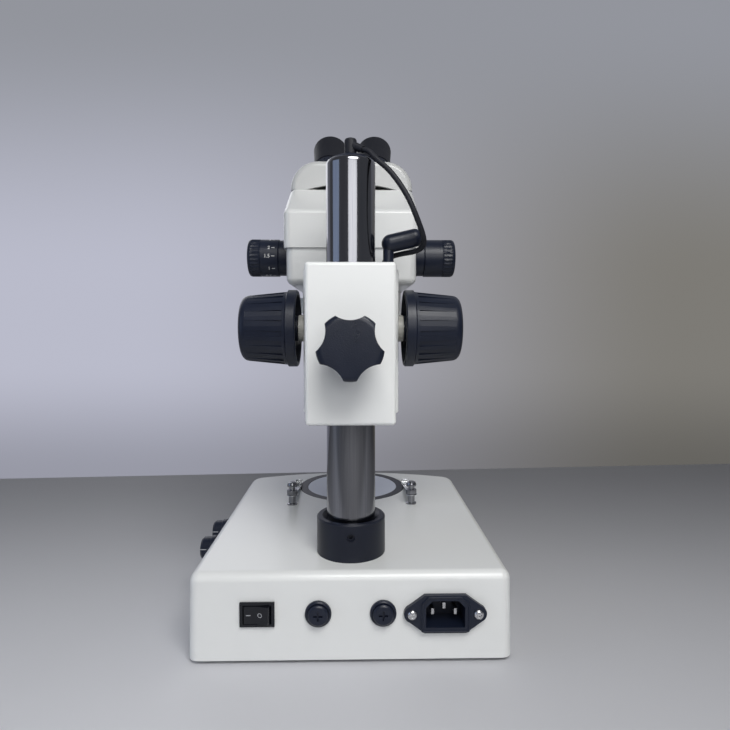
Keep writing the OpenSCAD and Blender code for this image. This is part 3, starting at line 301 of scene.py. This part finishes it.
# %% Metals
chrome = Finish("polished_chrome")
chrome_grain = chrome.noise(160, 3, stretch=(6, 6, 0.12))
chrome_lines = chrome.noise(420, 2, stretch=(6, 6, 0.05))
chrome_haze = chrome.noise(25, 3)
chrome.set(
    Base_Color=chrome.blend(
        (0.15, 0.155, 0.18), (0.34, 0.34, 0.35), chrome_grain * 0.5 + chrome_lines * 0.5
    ),
    Metallic=1.0,
    Roughness=chrome_haze * 0.05 + chrome_grain * 0.06 + 0.06,
    Normal=chrome.bump(chrome_lines, 0.00002, 0.25),
)


def bare_metal(name, tones, scale, rough, stretch=(1, 1, 1)):
    """Two tones, the scale of the grain, and roughness as its spread and its least value."""
    made = Finish(name)
    grain = made.noise(scale, 3, stretch)
    spread, least = rough
    made.set(
        Base_Color=made.blend(*tones, grain),
        Metallic=1.0,
        Roughness=grain * spread + least,
    )
    return made


STEEL_TONES = ((0.5, 0.5, 0.51), (0.63, 0.63, 0.64))
STRIP_TONES = ((0.52, 0.53, 0.55), (0.68, 0.69, 0.7))
MILLED_TONES = ((0.6, 0.6, 0.61), (0.74, 0.74, 0.75))
BRASS_TONES = ((0.5, 0.36, 0.14), (0.66, 0.5, 0.24))
turned = bare_metal("turned_steel", STEEL_TONES, 220, (0.12, 0.2))
spring = bare_metal("spring_strip", STRIP_TONES, 300, (0.14, 0.16), (4, 0.3, 4))
milled = bare_metal("milled_aluminium", MILLED_TONES, 260, (0.12, 0.26), (0.3, 6, 6))
brass = bare_metal("rack_brass", BRASS_TONES, 120, (0.15, 0.22))
print("finishes:", chrome.material.name, turned.material.name, brass.material.name)

# %% [markdown]
# The stage plate is opal glass, frosted on top, so it looks like pale even paper. The lenses carry
# a coating that tints their reflections blue and green.

# %% Glass
opal = Finish("opal_glass")
opal_cloud = opal.noise(30, 2)
opal.set(
    Base_Color=opal.blend((0.6, 0.64, 0.76), (0.66, 0.7, 0.8), opal_cloud),
    Roughness=opal_cloud * 0.1 + 0.32,
    Coat_Weight=0.2,
)
lens = Finish("coated_lens")
lens.set(
    Base_Color=(0.55, 0.72, 0.86),
    Roughness=0.03,
    IOR=1.55,
    Transmission_Weight=0.6,
    Coat_Weight=0.6,
    Coat_Tint=(0.6, 0.75, 1.0),
)
print("finishes:", opal.material.name, lens.material.name)

# %% [markdown]
# Parts inside, the nose and printed marks are small or hidden. One even tone with a faint cloud
# is enough for each of them.

# %% Plain finishes
def plain(name, colour, rough):
    made = Finish(name)
    cloud = made.noise(80, 2)
    made.set(
        Base_Color=made.blend(toned(colour, 0.88), colour, cloud),
        Roughness=cloud * 0.1 + rough,
    )
    return made


ivory = plain("ivory_moulding", (0.6, 0.59, 0.54), 0.35)
grey = plain("grey_moulding", (0.2, 0.2, 0.21), 0.45)
board = plain("circuit_board", (0.03, 0.2, 0.07), 0.35)
sheet = plain("grey_coated_sheet", (0.22, 0.22, 0.23), 0.42)
pale = plain("pale_satin_paint", (0.74, 0.75, 0.73), 0.32)
marking = plain("white_marking", (0.85, 0.85, 0.83), 0.5)
print("finishes in all:", len(bpy.data.materials))

# %% [markdown]
# Real castings and mouldings have no knife edges. A narrow bevel rounds the edges so that they
# catch the light. Weighted normals keep the large faces flat beside it, where smooth shading
# alone would leave dark smears.

# %% Round and smooth a piece
SHARP = 32  # degrees: an edge that turns less is shaded smooth and gets no bevel


def pick(*things):
    bpy.ops.object.select_all(action="DESELECT")
    for thing in things:
        thing.select_set(True)
    bpy.context.view_layer.objects.active = things[-1]


def finish_with(piece, finish):
    piece.data.materials.clear()
    piece.data.materials.append(finish.material)


def bevel(piece, width, segments=2):
    pick(piece)
    bpy.ops.object.modifier_add(type="BEVEL")
    rounding = piece.modifiers[-1]
    rounding.width = width
    rounding.segments = segments
    rounding.limit_method = "ANGLE"
    rounding.angle_limit = radians(SHARP)
    rounding.harden_normals = False
    rounding.miter_outer = "MITER_ARC"
    bpy.ops.object.modifier_apply(modifier=rounding.name)


def smooth(piece, angle=SHARP):
    pick(piece)
    bpy.ops.object.shade_smooth_by_angle(angle=radians(angle))
    bpy.ops.object.modifier_add(type="WEIGHTED_NORMAL")
    weighted = piece.modifiers[-1]
    weighted.mode = "FACE_AREA_WITH_ANGLE"
    weighted.weight = 60
    weighted.keep_sharp = True
    bpy.ops.object.modifier_apply(modifier=weighted.name)


print("edges that turn more than", SHARP, "degrees are rounded")

# %% [markdown]
# Each solid is copied, and the copy's loose triangles are merged back into whole faces before
# they are rounded. The copy then takes the solid's place, which stays behind for the physics.

# %% Dress a solid
MERGE_WITHIN = 0.004 * MM
FLAT_WITHIN = 0.4  # degrees between two faces that are one
body_of_node = {
    node: body
    for body, nodes in frame["record"]["behaviour"]["bodies"].items()
    for node in nodes
}


def dress(node, finish, width):
    pick(frame["nodes"][node])
    bpy.ops.object.duplicate()
    piece = bpy.context.object
    for key in list(piece.keys()):
        del piece[key]
    piece.parent = None
    piece.name = node + "_dressed"
    bpy.ops.object.mode_set(mode="EDIT")
    bpy.ops.mesh.select_all(action="SELECT")
    bpy.ops.mesh.customdata_custom_splitnormals_clear()
    bpy.ops.mesh.remove_doubles(threshold=MERGE_WITHIN)
    bpy.ops.mesh.dissolve_limited(angle_limit=radians(FLAT_WITHIN))
    bpy.ops.object.mode_set(mode="OBJECT")
    if width:
        bevel(piece, width)
    smooth(piece)
    finish_with(piece, finish)
    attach(piece, body_of_node[node])
    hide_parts(node)
    return piece


print("solids to dress:", len(body_of_node))

# %% [markdown]
# One table lists the solids under their finish, and the other gives the width of the bevel, in
# mm, where it isn't the usual one. The cast base is the roundest. The teeth of rack and pinion
# hardly lose an edge, because they mesh, and the ground lenses keep theirs.

# %% Which finish and rounding each solid takes
FINISHES = {
    enamel: "base_housing",
    bracket_enamel_painted_light: "focus_bracket head_ring",
    head_enamel_painted_shade: "head_lower head_upper",
    hood_enamel_painted_shade: "prism_hood eye_drum_left eye_drum_right",
    moulded: "fuse_holders fuse_cap_left fuse_cap_right mains_inlet brightness_knob_front "
    "brightness_knob_rear pillar_socket lead_hook focus_knob_left focus_knob_right "
    "ring_screw dioptre_ring_left dioptre_ring_right",
    grained: "clamp_knob",
    gloss: "switch_frame switch_rocker",
    rubber: "rubber_feet lamp_plug eyecup_left eyecup_right",
    satin_black: "stage_ring pillar_collar lamp_arm lamp_housing eyepiece_left eyepiece_right",
    chrome: "pillar clip_posts",
    turned: "panel_screws inlet_pins clamp_screw pinion_shaft zoom_shaft",
    spring: "clip_spring_left clip_spring_right",
    milled: "focus_slide",
    brass: "focus_rack",
    opal: "stage_plate",
    lens: "lamp_lens objective_lens eye_lens_left eye_lens_right",
    ivory: "shaft_bushes base_lamp",
    grey: "dimmers",
    board: "power_board",
    sheet: "base_cover",
    pale: "objective_barrel",
}
USUAL_WIDTH = 0.25
WIDTHS = {
    "base_housing": 1.4,
    "focus_bracket": 0.4,
    "head_lower": 0.5,
    "head_upper": 0.5,
    "prism_hood": 0.5,
    "head_ring": 0.6,
    "clamp_knob": 0.5,
    "pillar": 0.2,
    "inlet_pins": 0.4,
    "focus_rack": 0.06,
    "pinion_shaft": 0.06,
    "lamp_lens": 0,
    "objective_lens": 0,
    "eye_lens_left": 0,
    "eye_lens_right": 0,
}
dressed = {}
for finish, nodes in FINISHES.items():
    for node in nodes.split():
        dressed[node] = dress(node, finish, WIDTHS.get(node, USUAL_WIDTH) * MM)
print("dressed:", len(dressed), "of", len(frame["nodes"]))

# %% [markdown]
# The pillar's collar is held by a grub screw, which lies in the collar's wall and is blackened
# steel. It came as one of the panel's screws and is the only one of them above the stage, so its
# faces are split off by their height. They get a finish of their own and stay on the stand.

# %% The grub screw
screws = dressed["panel_screws"]
pick(screws)
bpy.ops.object.mode_set(mode="EDIT")
bpy.ops.mesh.select_all(action="DESELECT")
bpy.ops.object.mode_set(mode="OBJECT")
for face in screws.data.polygons:
    face.select = face.center.z > 0
bpy.ops.object.mode_set(mode="EDIT")
bpy.ops.mesh.separate(type="SELECTED")
bpy.ops.object.mode_set(mode="OBJECT")
grub_screw = next(thing for thing in bpy.context.selected_objects if thing != screws)
grub_screw.name = "grub_screw"
finish_with(grub_screw, satin_black)
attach(grub_screw, "stand")
print("grub screw faces:", len(grub_screw.data.polygons))

# %% [markdown]
# Knobs, cables and beads all start as a line. Blender's own path is emptied, takes the line's
# points, and becomes a mesh once it is shaped. Spinning or sweeping it leaves double points where
# it meets itself, so these are merged and the faces are turned outwards.

# %% From a line to a mesh
def drawn_line(name, line):
    bpy.ops.object.select_all(action="DESELECT")
    bpy.ops.curve.primitive_nurbs_path_add()
    piece = bpy.context.object
    piece.name = name
    piece.location = (0, 0, 0)
    piece.data.splines.clear()
    spline = piece.data.splines.new("POLY")
    spline.points.add(len(line) - 1)
    for point, place in zip(spline.points, line):
        point.co = (*place, 1)
    return piece


def as_mesh(piece):
    pick(piece)
    bpy.ops.object.convert(target="MESH")
    return bpy.context.object


def close_up(within):
    """Merge doubles in the mesh that is being edited, and turn its faces outwards."""
    bpy.ops.mesh.select_all(action="SELECT")
    bpy.ops.mesh.remove_doubles(threshold=within)
    bpy.ops.mesh.normals_make_consistent(inside=False)
    bpy.ops.object.mode_set(mode="OBJECT")


# %% [markdown]
# The zoom knobs are turned mouldings: a neck, a smooth band for the numbers, a grip, and a
# rounded end with a shallow recess. Each is a profile spun round the shaft, as on a lathe, in
# steps of three degrees.

# %% A turned piece
ZOOM_AXIS = (42, 206)
SPIN_STEPS = 120
ZOOM_PROFILE = [
    (52.5, 0), (52.5, 14.3), (53, 14.8), (59.6, 14.8), (60, 14.5), (60.2, 14.5), (60.4, 15.1),
    (60.8, 15.5), (75, 15.5), (75.3, 15.2), (75.6, 15.2), (75.8, 15.5), (76.4, 15.5),
    (79.6, 15.5), (82.8, 15.5), (83.4, 15.5), (84.4, 15.3), (85.3, 14.7), (85.8, 13.8),
    (86, 12.6), (86, 9), (85.2, 8.4), (85.2, 0),
]


def turned_piece(name, profile, side):
    """Spin a profile of (distance along X, radius) in mm round the zoom shaft."""
    centre = Vector((0, *ZOOM_AXIS)) * MM
    line = [centre + Vector((side * along, 0, radius)) * MM for along, radius in profile]
    piece = as_mesh(drawn_line(name, line))
    bpy.ops.object.mode_set(mode="EDIT")
    bpy.ops.mesh.select_all(action="SELECT")
    bpy.ops.mesh.spin(steps=SPIN_STEPS, angle=2 * pi, center=centre, axis=(1, 0, 0))
    close_up(0.005 * MM)
    return piece


print("zoom knob profile:", len(ZOOM_PROFILE), "points")

# %% [markdown]
# The grip has thirty fine flutes. Of every four lines along it one stays and three are pressed
# inwards, the middle one deepest, and that makes a flute.

# %% Zoom knobs
GRIP_FROM, GRIP_TO = 76, 83
FLUTE_DEPTHS = (0, 0.45, 0.6, 0.45)
GRIP_SHARP = 34


def flute(knob):
    for corner in knob.data.vertices:
        if GRIP_FROM < abs(corner.co.x) / MM < GRIP_TO:
            up = Vector((corner.co.y / MM - ZOOM_AXIS[0], corner.co.z / MM - ZOOM_AXIS[1]))
            line = round(degrees(atan2(up.y, up.x)) * SPIN_STEPS / 360)
            up *= 1 - FLUTE_DEPTHS[line % 4] / up.length
            corner.co.y = (ZOOM_AXIS[0] + up.x) * MM
            corner.co.z = (ZOOM_AXIS[1] + up.y) * MM


for side, label in ((1, "right"), (-1, "left")):
    knob = turned_piece("zoom_grip_" + label, ZOOM_PROFILE, side)
    flute(knob)
    smooth(knob, GRIP_SHARP)
    finish_with(knob, moulded)
    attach(knob, body_of_node["zoom_knob_" + label])
    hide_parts("zoom_knob_" + label)
    print("zoom knob", label, "faces:", len(knob.data.polygons))

# %% [markdown]
# A printed mark starts flat, drawn in mm round its own origin: letters as text that is made a
# mesh, and ticks, dashes and lines as a bar. Later it is laid on the surface that carries it.

# %% Flat marks
def flat_text(words, size, align="RIGHT"):
    bpy.ops.object.select_all(action="DESELECT")
    bpy.ops.object.text_add()
    piece = bpy.context.object
    piece.data.body = words
    piece.data.size = size
    piece.data.align_x = align
    piece.data.align_y = "CENTER"
    return as_mesh(piece)


def flat_bar(length, width):
    bpy.ops.object.select_all(action="DESELECT")
    bpy.ops.mesh.primitive_plane_add(size=1)
    piece = bpy.context.object
    for corner in piece.data.vertices:
        corner.co.x *= length
        corner.co.y *= width
    return piece


# %% [markdown]
# The band of the right knob carries plain zoom numbers from 0.7 to 4.5, with a short tick at
# each. They are rolled round the band, just above its surface.

# %% Numbers and ticks
ZOOM_NUMBERS = {  # each at its angle round the shaft
    "0.7": -73, "1": -39, "1.5": 0, "2": 26.5, "3": 66, "4": 94, "4.5": 112,
}
BAND_RADIUS = 15.6
NUMBER_SIZE = 4.1
NUMBER_END = 66.8
TICK = (2.6, 0.45)
TICK_MIDDLE = 64.3


def roll(piece, along, turn):
    """Lay a flat mark on the band of the zoom knob."""
    for corner in piece.data.vertices:
        angle = radians(turn) + corner.co.y / BAND_RADIUS
        corner.co = Vector((
            along - corner.co.x,
            ZOOM_AXIS[0] + BAND_RADIUS * cos(angle),
            ZOOM_AXIS[1] + BAND_RADIUS * sin(angle),
        )) * MM


marks = []
for words, turn in ZOOM_NUMBERS.items():
    number = flat_text(words, NUMBER_SIZE)
    roll(number, NUMBER_END, turn)
    tick = flat_bar(*TICK)
    roll(tick, TICK_MIDDLE, turn)
    marks += [number, tick]
pick(*marks)
bpy.ops.object.join()
zoom_marks = bpy.context.object
zoom_marks.name = "zoom_numbers"
finish_with(zoom_marks, marking)
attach(zoom_marks, body_of_node["zoom_knob_right"])
print("marks:", len(marks), "faces:", len(zoom_marks.data.polygons))

# %% [markdown]
# The lamp's lead leaves its plug on the pillar, sags in one curve and goes round the hook on the
# bracket. It is a soft round cable, so it is swept as one smooth curve through the points of its
# route. Beyond the hook the lead lies along the bracket down to the lamp, so that stretch rides on
# the bracket.

# %% The lead's route
LEAD_ROUTE = [
    (-8, 156.6, 261.2), (-11.7, 158.7, 259.2), (-14.9, 160.8, 255.4), (-18.6, 162.6, 251.5),
    (-24.2, 164.4, 246), (-30, 166, 238.3), (-35.7, 167, 229), (-39.4, 167, 221),
    (-43, 165, 213), (-46, 161, 206.4), (-47.2, 156, 202), (-45.5, 151, 199),
    (-41, 146.5, 197.6), (-35, 142.5, 197), (-29, 138.5, 196),
]
TAIL_ROUTE = [
    (-29, 138.5, 196), (-24.5, 133.5, 194.2), (-23, 128, 192.4), (-23, 122, 191.3),
    (-24, 116, 191), (-25.8, 110.5, 190), (-27, 106.6, 186.5), (-27.5, 104.8, 181),
    (-27.5, 104.5, 174), (-27.5, 104.5, 165), (-27.5, 104.5, 147), (-27.5, 104.5, 120),
    (-27.5, 104.5, 93),
]


def smooth_route(points, steps=6):
    """Points of a Catmull-Rom curve through the given ones."""
    known = [Vector(point) * MM for point in points]
    known = [2 * known[0] - known[1], *known, 2 * known[-1] - known[-2]]
    line = []
    for i in range(1, len(known) - 2):
        a, b, c, d = known[i - 1 : i + 3]
        slope = c - a
        bend = 2 * a - 5 * b + 4 * c - d
        twist = 3 * b - a - 3 * c + d
        for step in range(steps):
            t = step / steps
            line.append(0.5 * (2 * b + slope * t + bend * t**2 + twist * t**3))
    line.append(known[-2])
    return line


lead_line = smooth_route(LEAD_ROUTE)
lead_length = sum((b - a).length for a, b in zip(lead_line, lead_line[1:]))
print("lead:", round(lead_length / MM), "mm long")

# %% [markdown]
# A curve with a bevel depth is already a round tube, so it only has to be made a mesh.

# %% The lamp's lead
LEAD_WIDTH = 3.5 * MM
TUBE_SHARP = 40


def tube(name, line, width, sides=16, closed=False):
    """A round tube swept along a line, capped at both ends or closed into a ring."""
    piece = drawn_line(name, line)
    piece.data.bevel_depth = width / 2
    piece.data.bevel_resolution = sides // 4 - 1
    piece.data.use_fill_caps = not closed
    piece.data.splines[0].use_cyclic_u = closed
    piece = as_mesh(piece)
    bpy.ops.object.mode_set(mode="EDIT")
    close_up(0.01 * MM)
    bpy.ops.object.shade_smooth_by_angle(angle=radians(TUBE_SHARP))
    return piece


lead = tube("lamp_lead_cable", lead_line, LEAD_WIDTH)
finish_with(lead, rubber)
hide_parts("lamp_lead")
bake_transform(lead)
tail = tube("lead_tail_cable", smooth_route(TAIL_ROUTE), LEAD_WIDTH)
finish_with(tail, rubber)
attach(tail, "bracket")
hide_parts("lead_tail")
print("cables:", lead.name, tail.name)

# %% [markdown]
# The rocker has a dash on one half and a ring on the other. They are printed on the two sloping
# halves of its face, so each mark is drawn flat and laid on the slope, a hair above it.

# %% Switch marks
ROCKER_PLACE = (56.2, 187.4, -24.6)
ROCKER_TILT = radians(8)
ROCKER_FACE = 2.4
ROCKER_SLOPE = 1.2 / 7.2
MARK_LIFT = 0.07
DASH = (2.7, 0.5)
DASH_ALONG = 4.7
RING_SIZE = 3.9
RING_ALONG = -2.2


def lay_on_rocker(piece, along):
    for corner in piece.data.vertices:
        x = along - corner.co.x
        y = ROCKER_FACE + abs(x) * ROCKER_SLOPE + MARK_LIFT
        corner.co = Vector((
            ROCKER_PLACE[0] + x * cos(ROCKER_TILT) + y * sin(ROCKER_TILT),
            ROCKER_PLACE[1] - x * sin(ROCKER_TILT) + y * cos(ROCKER_TILT),
            ROCKER_PLACE[2] + corner.co.y,
        )) * MM


dash = flat_bar(*DASH)
lay_on_rocker(dash, DASH_ALONG)
ring = flat_text("O", RING_SIZE, "CENTER")
lay_on_rocker(ring, RING_ALONG)
pick(dash, ring)
bpy.ops.object.join()
switch_marks = bpy.context.object
switch_marks.name = "switch_marks"
switch_ink = plain("pale_switch_ink", (0.42, 0.43, 0.45), 0.45)
finish_with(switch_marks, switch_ink)
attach(switch_marks, body_of_node["switch_rocker"])
print("marks on rocker:", len(switch_marks.data.polygons), "faces")

# %% [markdown]
# A thin pale line on the rear of each brightness knob shows its setting. The knob tapers towards
# its end, so the line is bent round a radius that shrinks along it.

# %% Index lines
KNOB_DEPTHS = {"front": 77, "rear": 112}
KNOB_HEIGHT = -14.2
KNOB_START = 99.3
KNOB_RADIUS = 9
KNOB_TAPER = 0.08
INDEX = (4.6, 0.55)
INDEX_MIDDLE = 106.6
INDEX_TURN = 14
INDEX_LIFT = 0.12
for label, depth in KNOB_DEPTHS.items():
    line = flat_bar(*INDEX)
    for corner in line.data.vertices:
        along = INDEX_MIDDLE - corner.co.x
        radius = KNOB_RADIUS - (along - KNOB_START) * KNOB_TAPER + INDEX_LIFT
        angle = radians(INDEX_TURN) + corner.co.y / radius
        corner.co = Vector((
            along, depth + radius * cos(angle), KNOB_HEIGHT + radius * sin(angle)
        )) * MM
    line.name = "brightness_index_" + label
    finish_with(line, switch_ink)
    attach(line, body_of_node["brightness_knob_" + label])
print("index lines:", len(KNOB_DEPTHS))

# %% [markdown]
# The inlet's mouth has a raised rounded lip. It is one closed bead that follows the mouth's
# outline, half sunk in the flange, and catches a thin line of light. Each corner of the outline
# is a short curve, so that the bead doesn't kink there.

# %% The inlet's lip
INLET_PLACE = (-57, 191, -24.6)
LIP_HALF = (14.2, 10.5)
LIP_CUT = 4.2
LIP_BEND = 1.2
LIP_WIDTH = 1.3 * MM
BEND_STEPS = 4
lip_corners = [
    (-LIP_HALF[0], -LIP_HALF[1]), (LIP_HALF[0], -LIP_HALF[1]),
    (LIP_HALF[0], LIP_HALF[1] - LIP_CUT), (LIP_HALF[0] - LIP_CUT, LIP_HALF[1]),
    (LIP_CUT - LIP_HALF[0], LIP_HALF[1]), (-LIP_HALF[0], LIP_HALF[1] - LIP_CUT),
]
lip_line = []
for index, here in enumerate(lip_corners):
    before, after = lip_corners[index - 1], lip_corners[(index + 1) % len(lip_corners)]
    here, before, after = Vector(here), Vector(before), Vector(after)
    start = here + (before - here).normalized() * LIP_BEND
    end = here + (after - here).normalized() * LIP_BEND
    for step in range(BEND_STEPS + 1):
        t = step / BEND_STEPS
        flat = start * (1 - t) ** 2 + here * 2 * t * (1 - t) + end * t**2
        lip_line.append((Vector((flat.x, 0, flat.y)) + Vector(INLET_PLACE)) * MM)
lip = tube("inlet_lip", lip_line, LIP_WIDTH, sides=12, closed=True)
finish_with(lip, moulded)
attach(lip, "stand")
print("lip points:", len(lip_line))

# %% [markdown]
# The studio is a pale table top with a pale wall some way behind it. The table is a thick slab,
# and its far edge draws the line where the two meet. That line runs a little askew through the
# picture, so the slab reaches further back on one side.

# %% Table top
TABLE_SIZE = 5
TABLE_THICK = 30 * MM
NEAR_EDGE = 3.0
FAR_EDGE_LEFT, FAR_EDGE_RIGHT = -0.118, -0.418
table_height = solid_box[0][2]
bpy.ops.object.select_all(action="DESELECT")
bpy.ops.mesh.primitive_plane_add(size=TABLE_SIZE, location=(0, 0, table_height))
studio_table = bpy.context.object
studio_table.name = "studio_table"
bpy.ops.object.transform_apply(location=True, rotation=True, scale=True)
for corner in studio_table.data.vertices:
    far_edge = FAR_EDGE_LEFT if corner.co.x > 0 else FAR_EDGE_RIGHT
    corner.co.y = NEAR_EDGE if corner.co.y > 0 else far_edge
bpy.ops.object.mode_set(mode="EDIT")
bpy.ops.mesh.select_all(action="SELECT")
bpy.ops.mesh.extrude_region_move(TRANSFORM_OT_translate={"value": (0, 0, -TABLE_THICK)})
bpy.ops.mesh.select_all(action="SELECT")
bpy.ops.mesh.normals_make_consistent(inside=False)
bpy.ops.object.mode_set(mode="OBJECT")
bevel(studio_table, 1.5 * MM, segments=3)
smooth(studio_table)
print("table top at", round(table_height / MM, 1), "mm")

# %% [markdown]
# The table isn't lit evenly in the photograph: it darkens towards its far edge, towards the right
# and at the end nearest to the camera. Soft steps across its paper paint that in, so that no lamp
# has to be bent to it, and a faint fibre keeps the paper from looking like plastic.

# %% The table's paper
def band(value, low, high):
    """A soft step from 0 at low to 1 at high."""
    return value.tree.make(
        "ShaderNodeMapRange",
        {"interpolation_type": "SMOOTHSTEP"},
        {"Value": value, "From Min": low, "From Max": high, "To Min": 0.0, "To Max": 1.0},
    )


paper = Finish("pale_table")
paper_cloud = paper.noise(5, 4)
paper_fibre = paper.noise(700, 3)
paper_across = paper.make("ShaderNodeSeparateXYZ", {}, {0: paper.place}, "X")
paper_depth = paper_across.beside("Y")
paper_near = band(paper_depth, -0.28, 0.36)
paper_left = band(paper_across, -0.4, 0.25)
paper_end = band(paper_depth, 0.27, 0.42)
paper_light = (paper_near * 0.85 + paper_cloud * 0.1) * (paper_left * 0.4 + 0.6)
paper.set(
    Base_Color=paper.blend(
        (0.24, 0.24, 0.25), (0.82, 0.825, 0.86), paper_light * (1 - paper_end * 0.8)
    ),
    Roughness=paper_cloud * 0.1 + 0.6,
    Normal=paper.bump(paper_fibre, 0.0001, 0.3),
)
finish_with(studio_table, paper)
print("finish of the table:", paper.material.name)

# %% [markdown]
# The wall is a plane well behind the table, so that the front of the instrument still gets light.
# It carries painted light and shade: it goes from a cool pale grey at the left, where painted
# light falls, to a warm dark one at the right, greyer high up, with painted shade just above the
# table. It glows only for the camera, for mirrors and for glass, which the Light Path node tells
# apart, and for all other rays it is a plain matt wall. That leaves the light on the instrument
# alone.

# %% Wall
WALL_SIZE = 8
WALL_PLACE = (0, -1.3, 0.3)
bpy.ops.object.select_all(action="DESELECT")
bpy.ops.mesh.primitive_plane_add(
    size=WALL_SIZE, location=WALL_PLACE, rotation=(radians(-90), 0, 0)
)
studio_wall = bpy.context.object
studio_wall.name = "studio_wall"
bpy.ops.object.transform_apply(location=True, rotation=True, scale=True)
wall = Finish("pale_wall")
wall_across = wall.make("ShaderNodeSeparateXYZ", {}, {0: wall.place}, "X")
wall_height = wall_across.beside("Z")
wall_left = band(wall_across, -1.1, 0.75)
wall_painted_crease_shade = 1 - band(wall_height, -0.33, 0.04)
wall_top = band(wall_height, 0.3, 1.15)
# Painted light and shade: paler and cooler at the left, darker and warmer at the right, greyer
# high up, painted shade just above the table.
wall_painted_light = wall.blend((0.205, 0.197, 0.18), (0.49, 0.5, 0.595), wall_left)
wall_painted_light = wall.blend(wall_painted_light, (0.29, 0.3, 0.335), wall_top)
wall_painted_light = wall.blend(wall_painted_light, (0.0, 0.0, 0.0), wall_painted_crease_shade * 0.36)
wall_glow = wall.make("ShaderNodeEmission", {}, {"Color": wall_painted_light})
wall_plain = wall.make("ShaderNodeBsdfDiffuse", {}, {"Color": wall_painted_light})
rays = wall.make("ShaderNodeLightPath", {}, {}, "Is Camera Ray")
rays_seen = rays + rays.beside("Is Glossy Ray") + rays.beside("Is Transmission Ray")
wall_mix = wall.make("ShaderNodeMixShader", {}, {0: rays_seen, 1: wall_plain, 2: wall_glow})
wall.feed(wall.graph.nodes["Material Output"].inputs["Surface"], wall_mix)
finish_with(studio_wall, wall)
print("wall at", WALL_PLACE[1], "m")

# %% [markdown]
# Four soft lamps light the instrument at a plain level. The key hangs high behind the camera and
# gives part of the fall of light from the bracket to the head; the rest is painted into their
# enamels. A low lamp draws the bright streak on the pillar, a cool one fills from the left, and a
# weak one lights the far side for the other views.

# %% Soft lights
LIGHTS = {  # place, target, size in m, watts and colour
    "key_light": ((-0.17, 0.8, 0.85), (0, 0.1, 0.06), (0.6, 0.45), 7.2, (1, 0.995, 0.98)),
    "window_light": ((-0.13, 0.95, 0.36), (0, 0.1, 0.2), (0.56, 0.3), 1.35, (1, 1, 1)),
    "left_light": ((1.4, 0.6, 0.4), (0, 0.1, 0.05), (0.9, 0.9), 2.0, (0.55, 0.7, 1)),
    "front_light": ((0.6, -1.0, 0.7), (0, 0, 0.18), (0.9, 0.6), 2.0, (0.97, 0.98, 1)),
}
for name, (place, target, size, watts, colour) in LIGHTS.items():
    bpy.ops.object.select_all(action="DESELECT")
    bpy.ops.object.light_add(type="AREA", location=place)
    lamp = bpy.context.object
    lamp.name = name
    lamp.data.shape = "RECTANGLE"
    lamp.data.size, lamp.data.size_y = size
    lamp.data.energy = watts
    lamp.data.color = colour
    towards = Vector(target) - Vector(place)
    lamp.rotation_euler = towards.to_track_quat("-Z", "Y").to_euler()

# %% [markdown]
# The world fills what the lamps leave dark. It is a dim cool grey, a little lighter in front of
# the instrument than behind it, and its nodes are made by the same class as a finish's.

# %% The world
WORLD_FRONT = (0.14, 0.145, 0.16)
WORLD_BACK = (0.12, 0.125, 0.14)
world = bpy.data.worlds.new("studio_world")
bpy.context.scene.world = world
sky = Tree(world)
sky_place = sky.make("ShaderNodeTexCoord", {}, {}, "Generated")
sky_depth = sky.make("ShaderNodeSeparateXYZ", {}, {0: sky_place}, "Y")
sky_ramp = sky.make(
    "ShaderNodeMapRange", {}, {"Value": sky_depth, "From Min": -1, "From Max": 1}
)
sky.feed(
    sky.graph.nodes["Background"].inputs["Color"],
    sky.blend(WORLD_FRONT, WORLD_BACK, sky_ramp),
)
bpy.context.scene.view_settings.view_transform = "Standard"
print("world:", world.name)
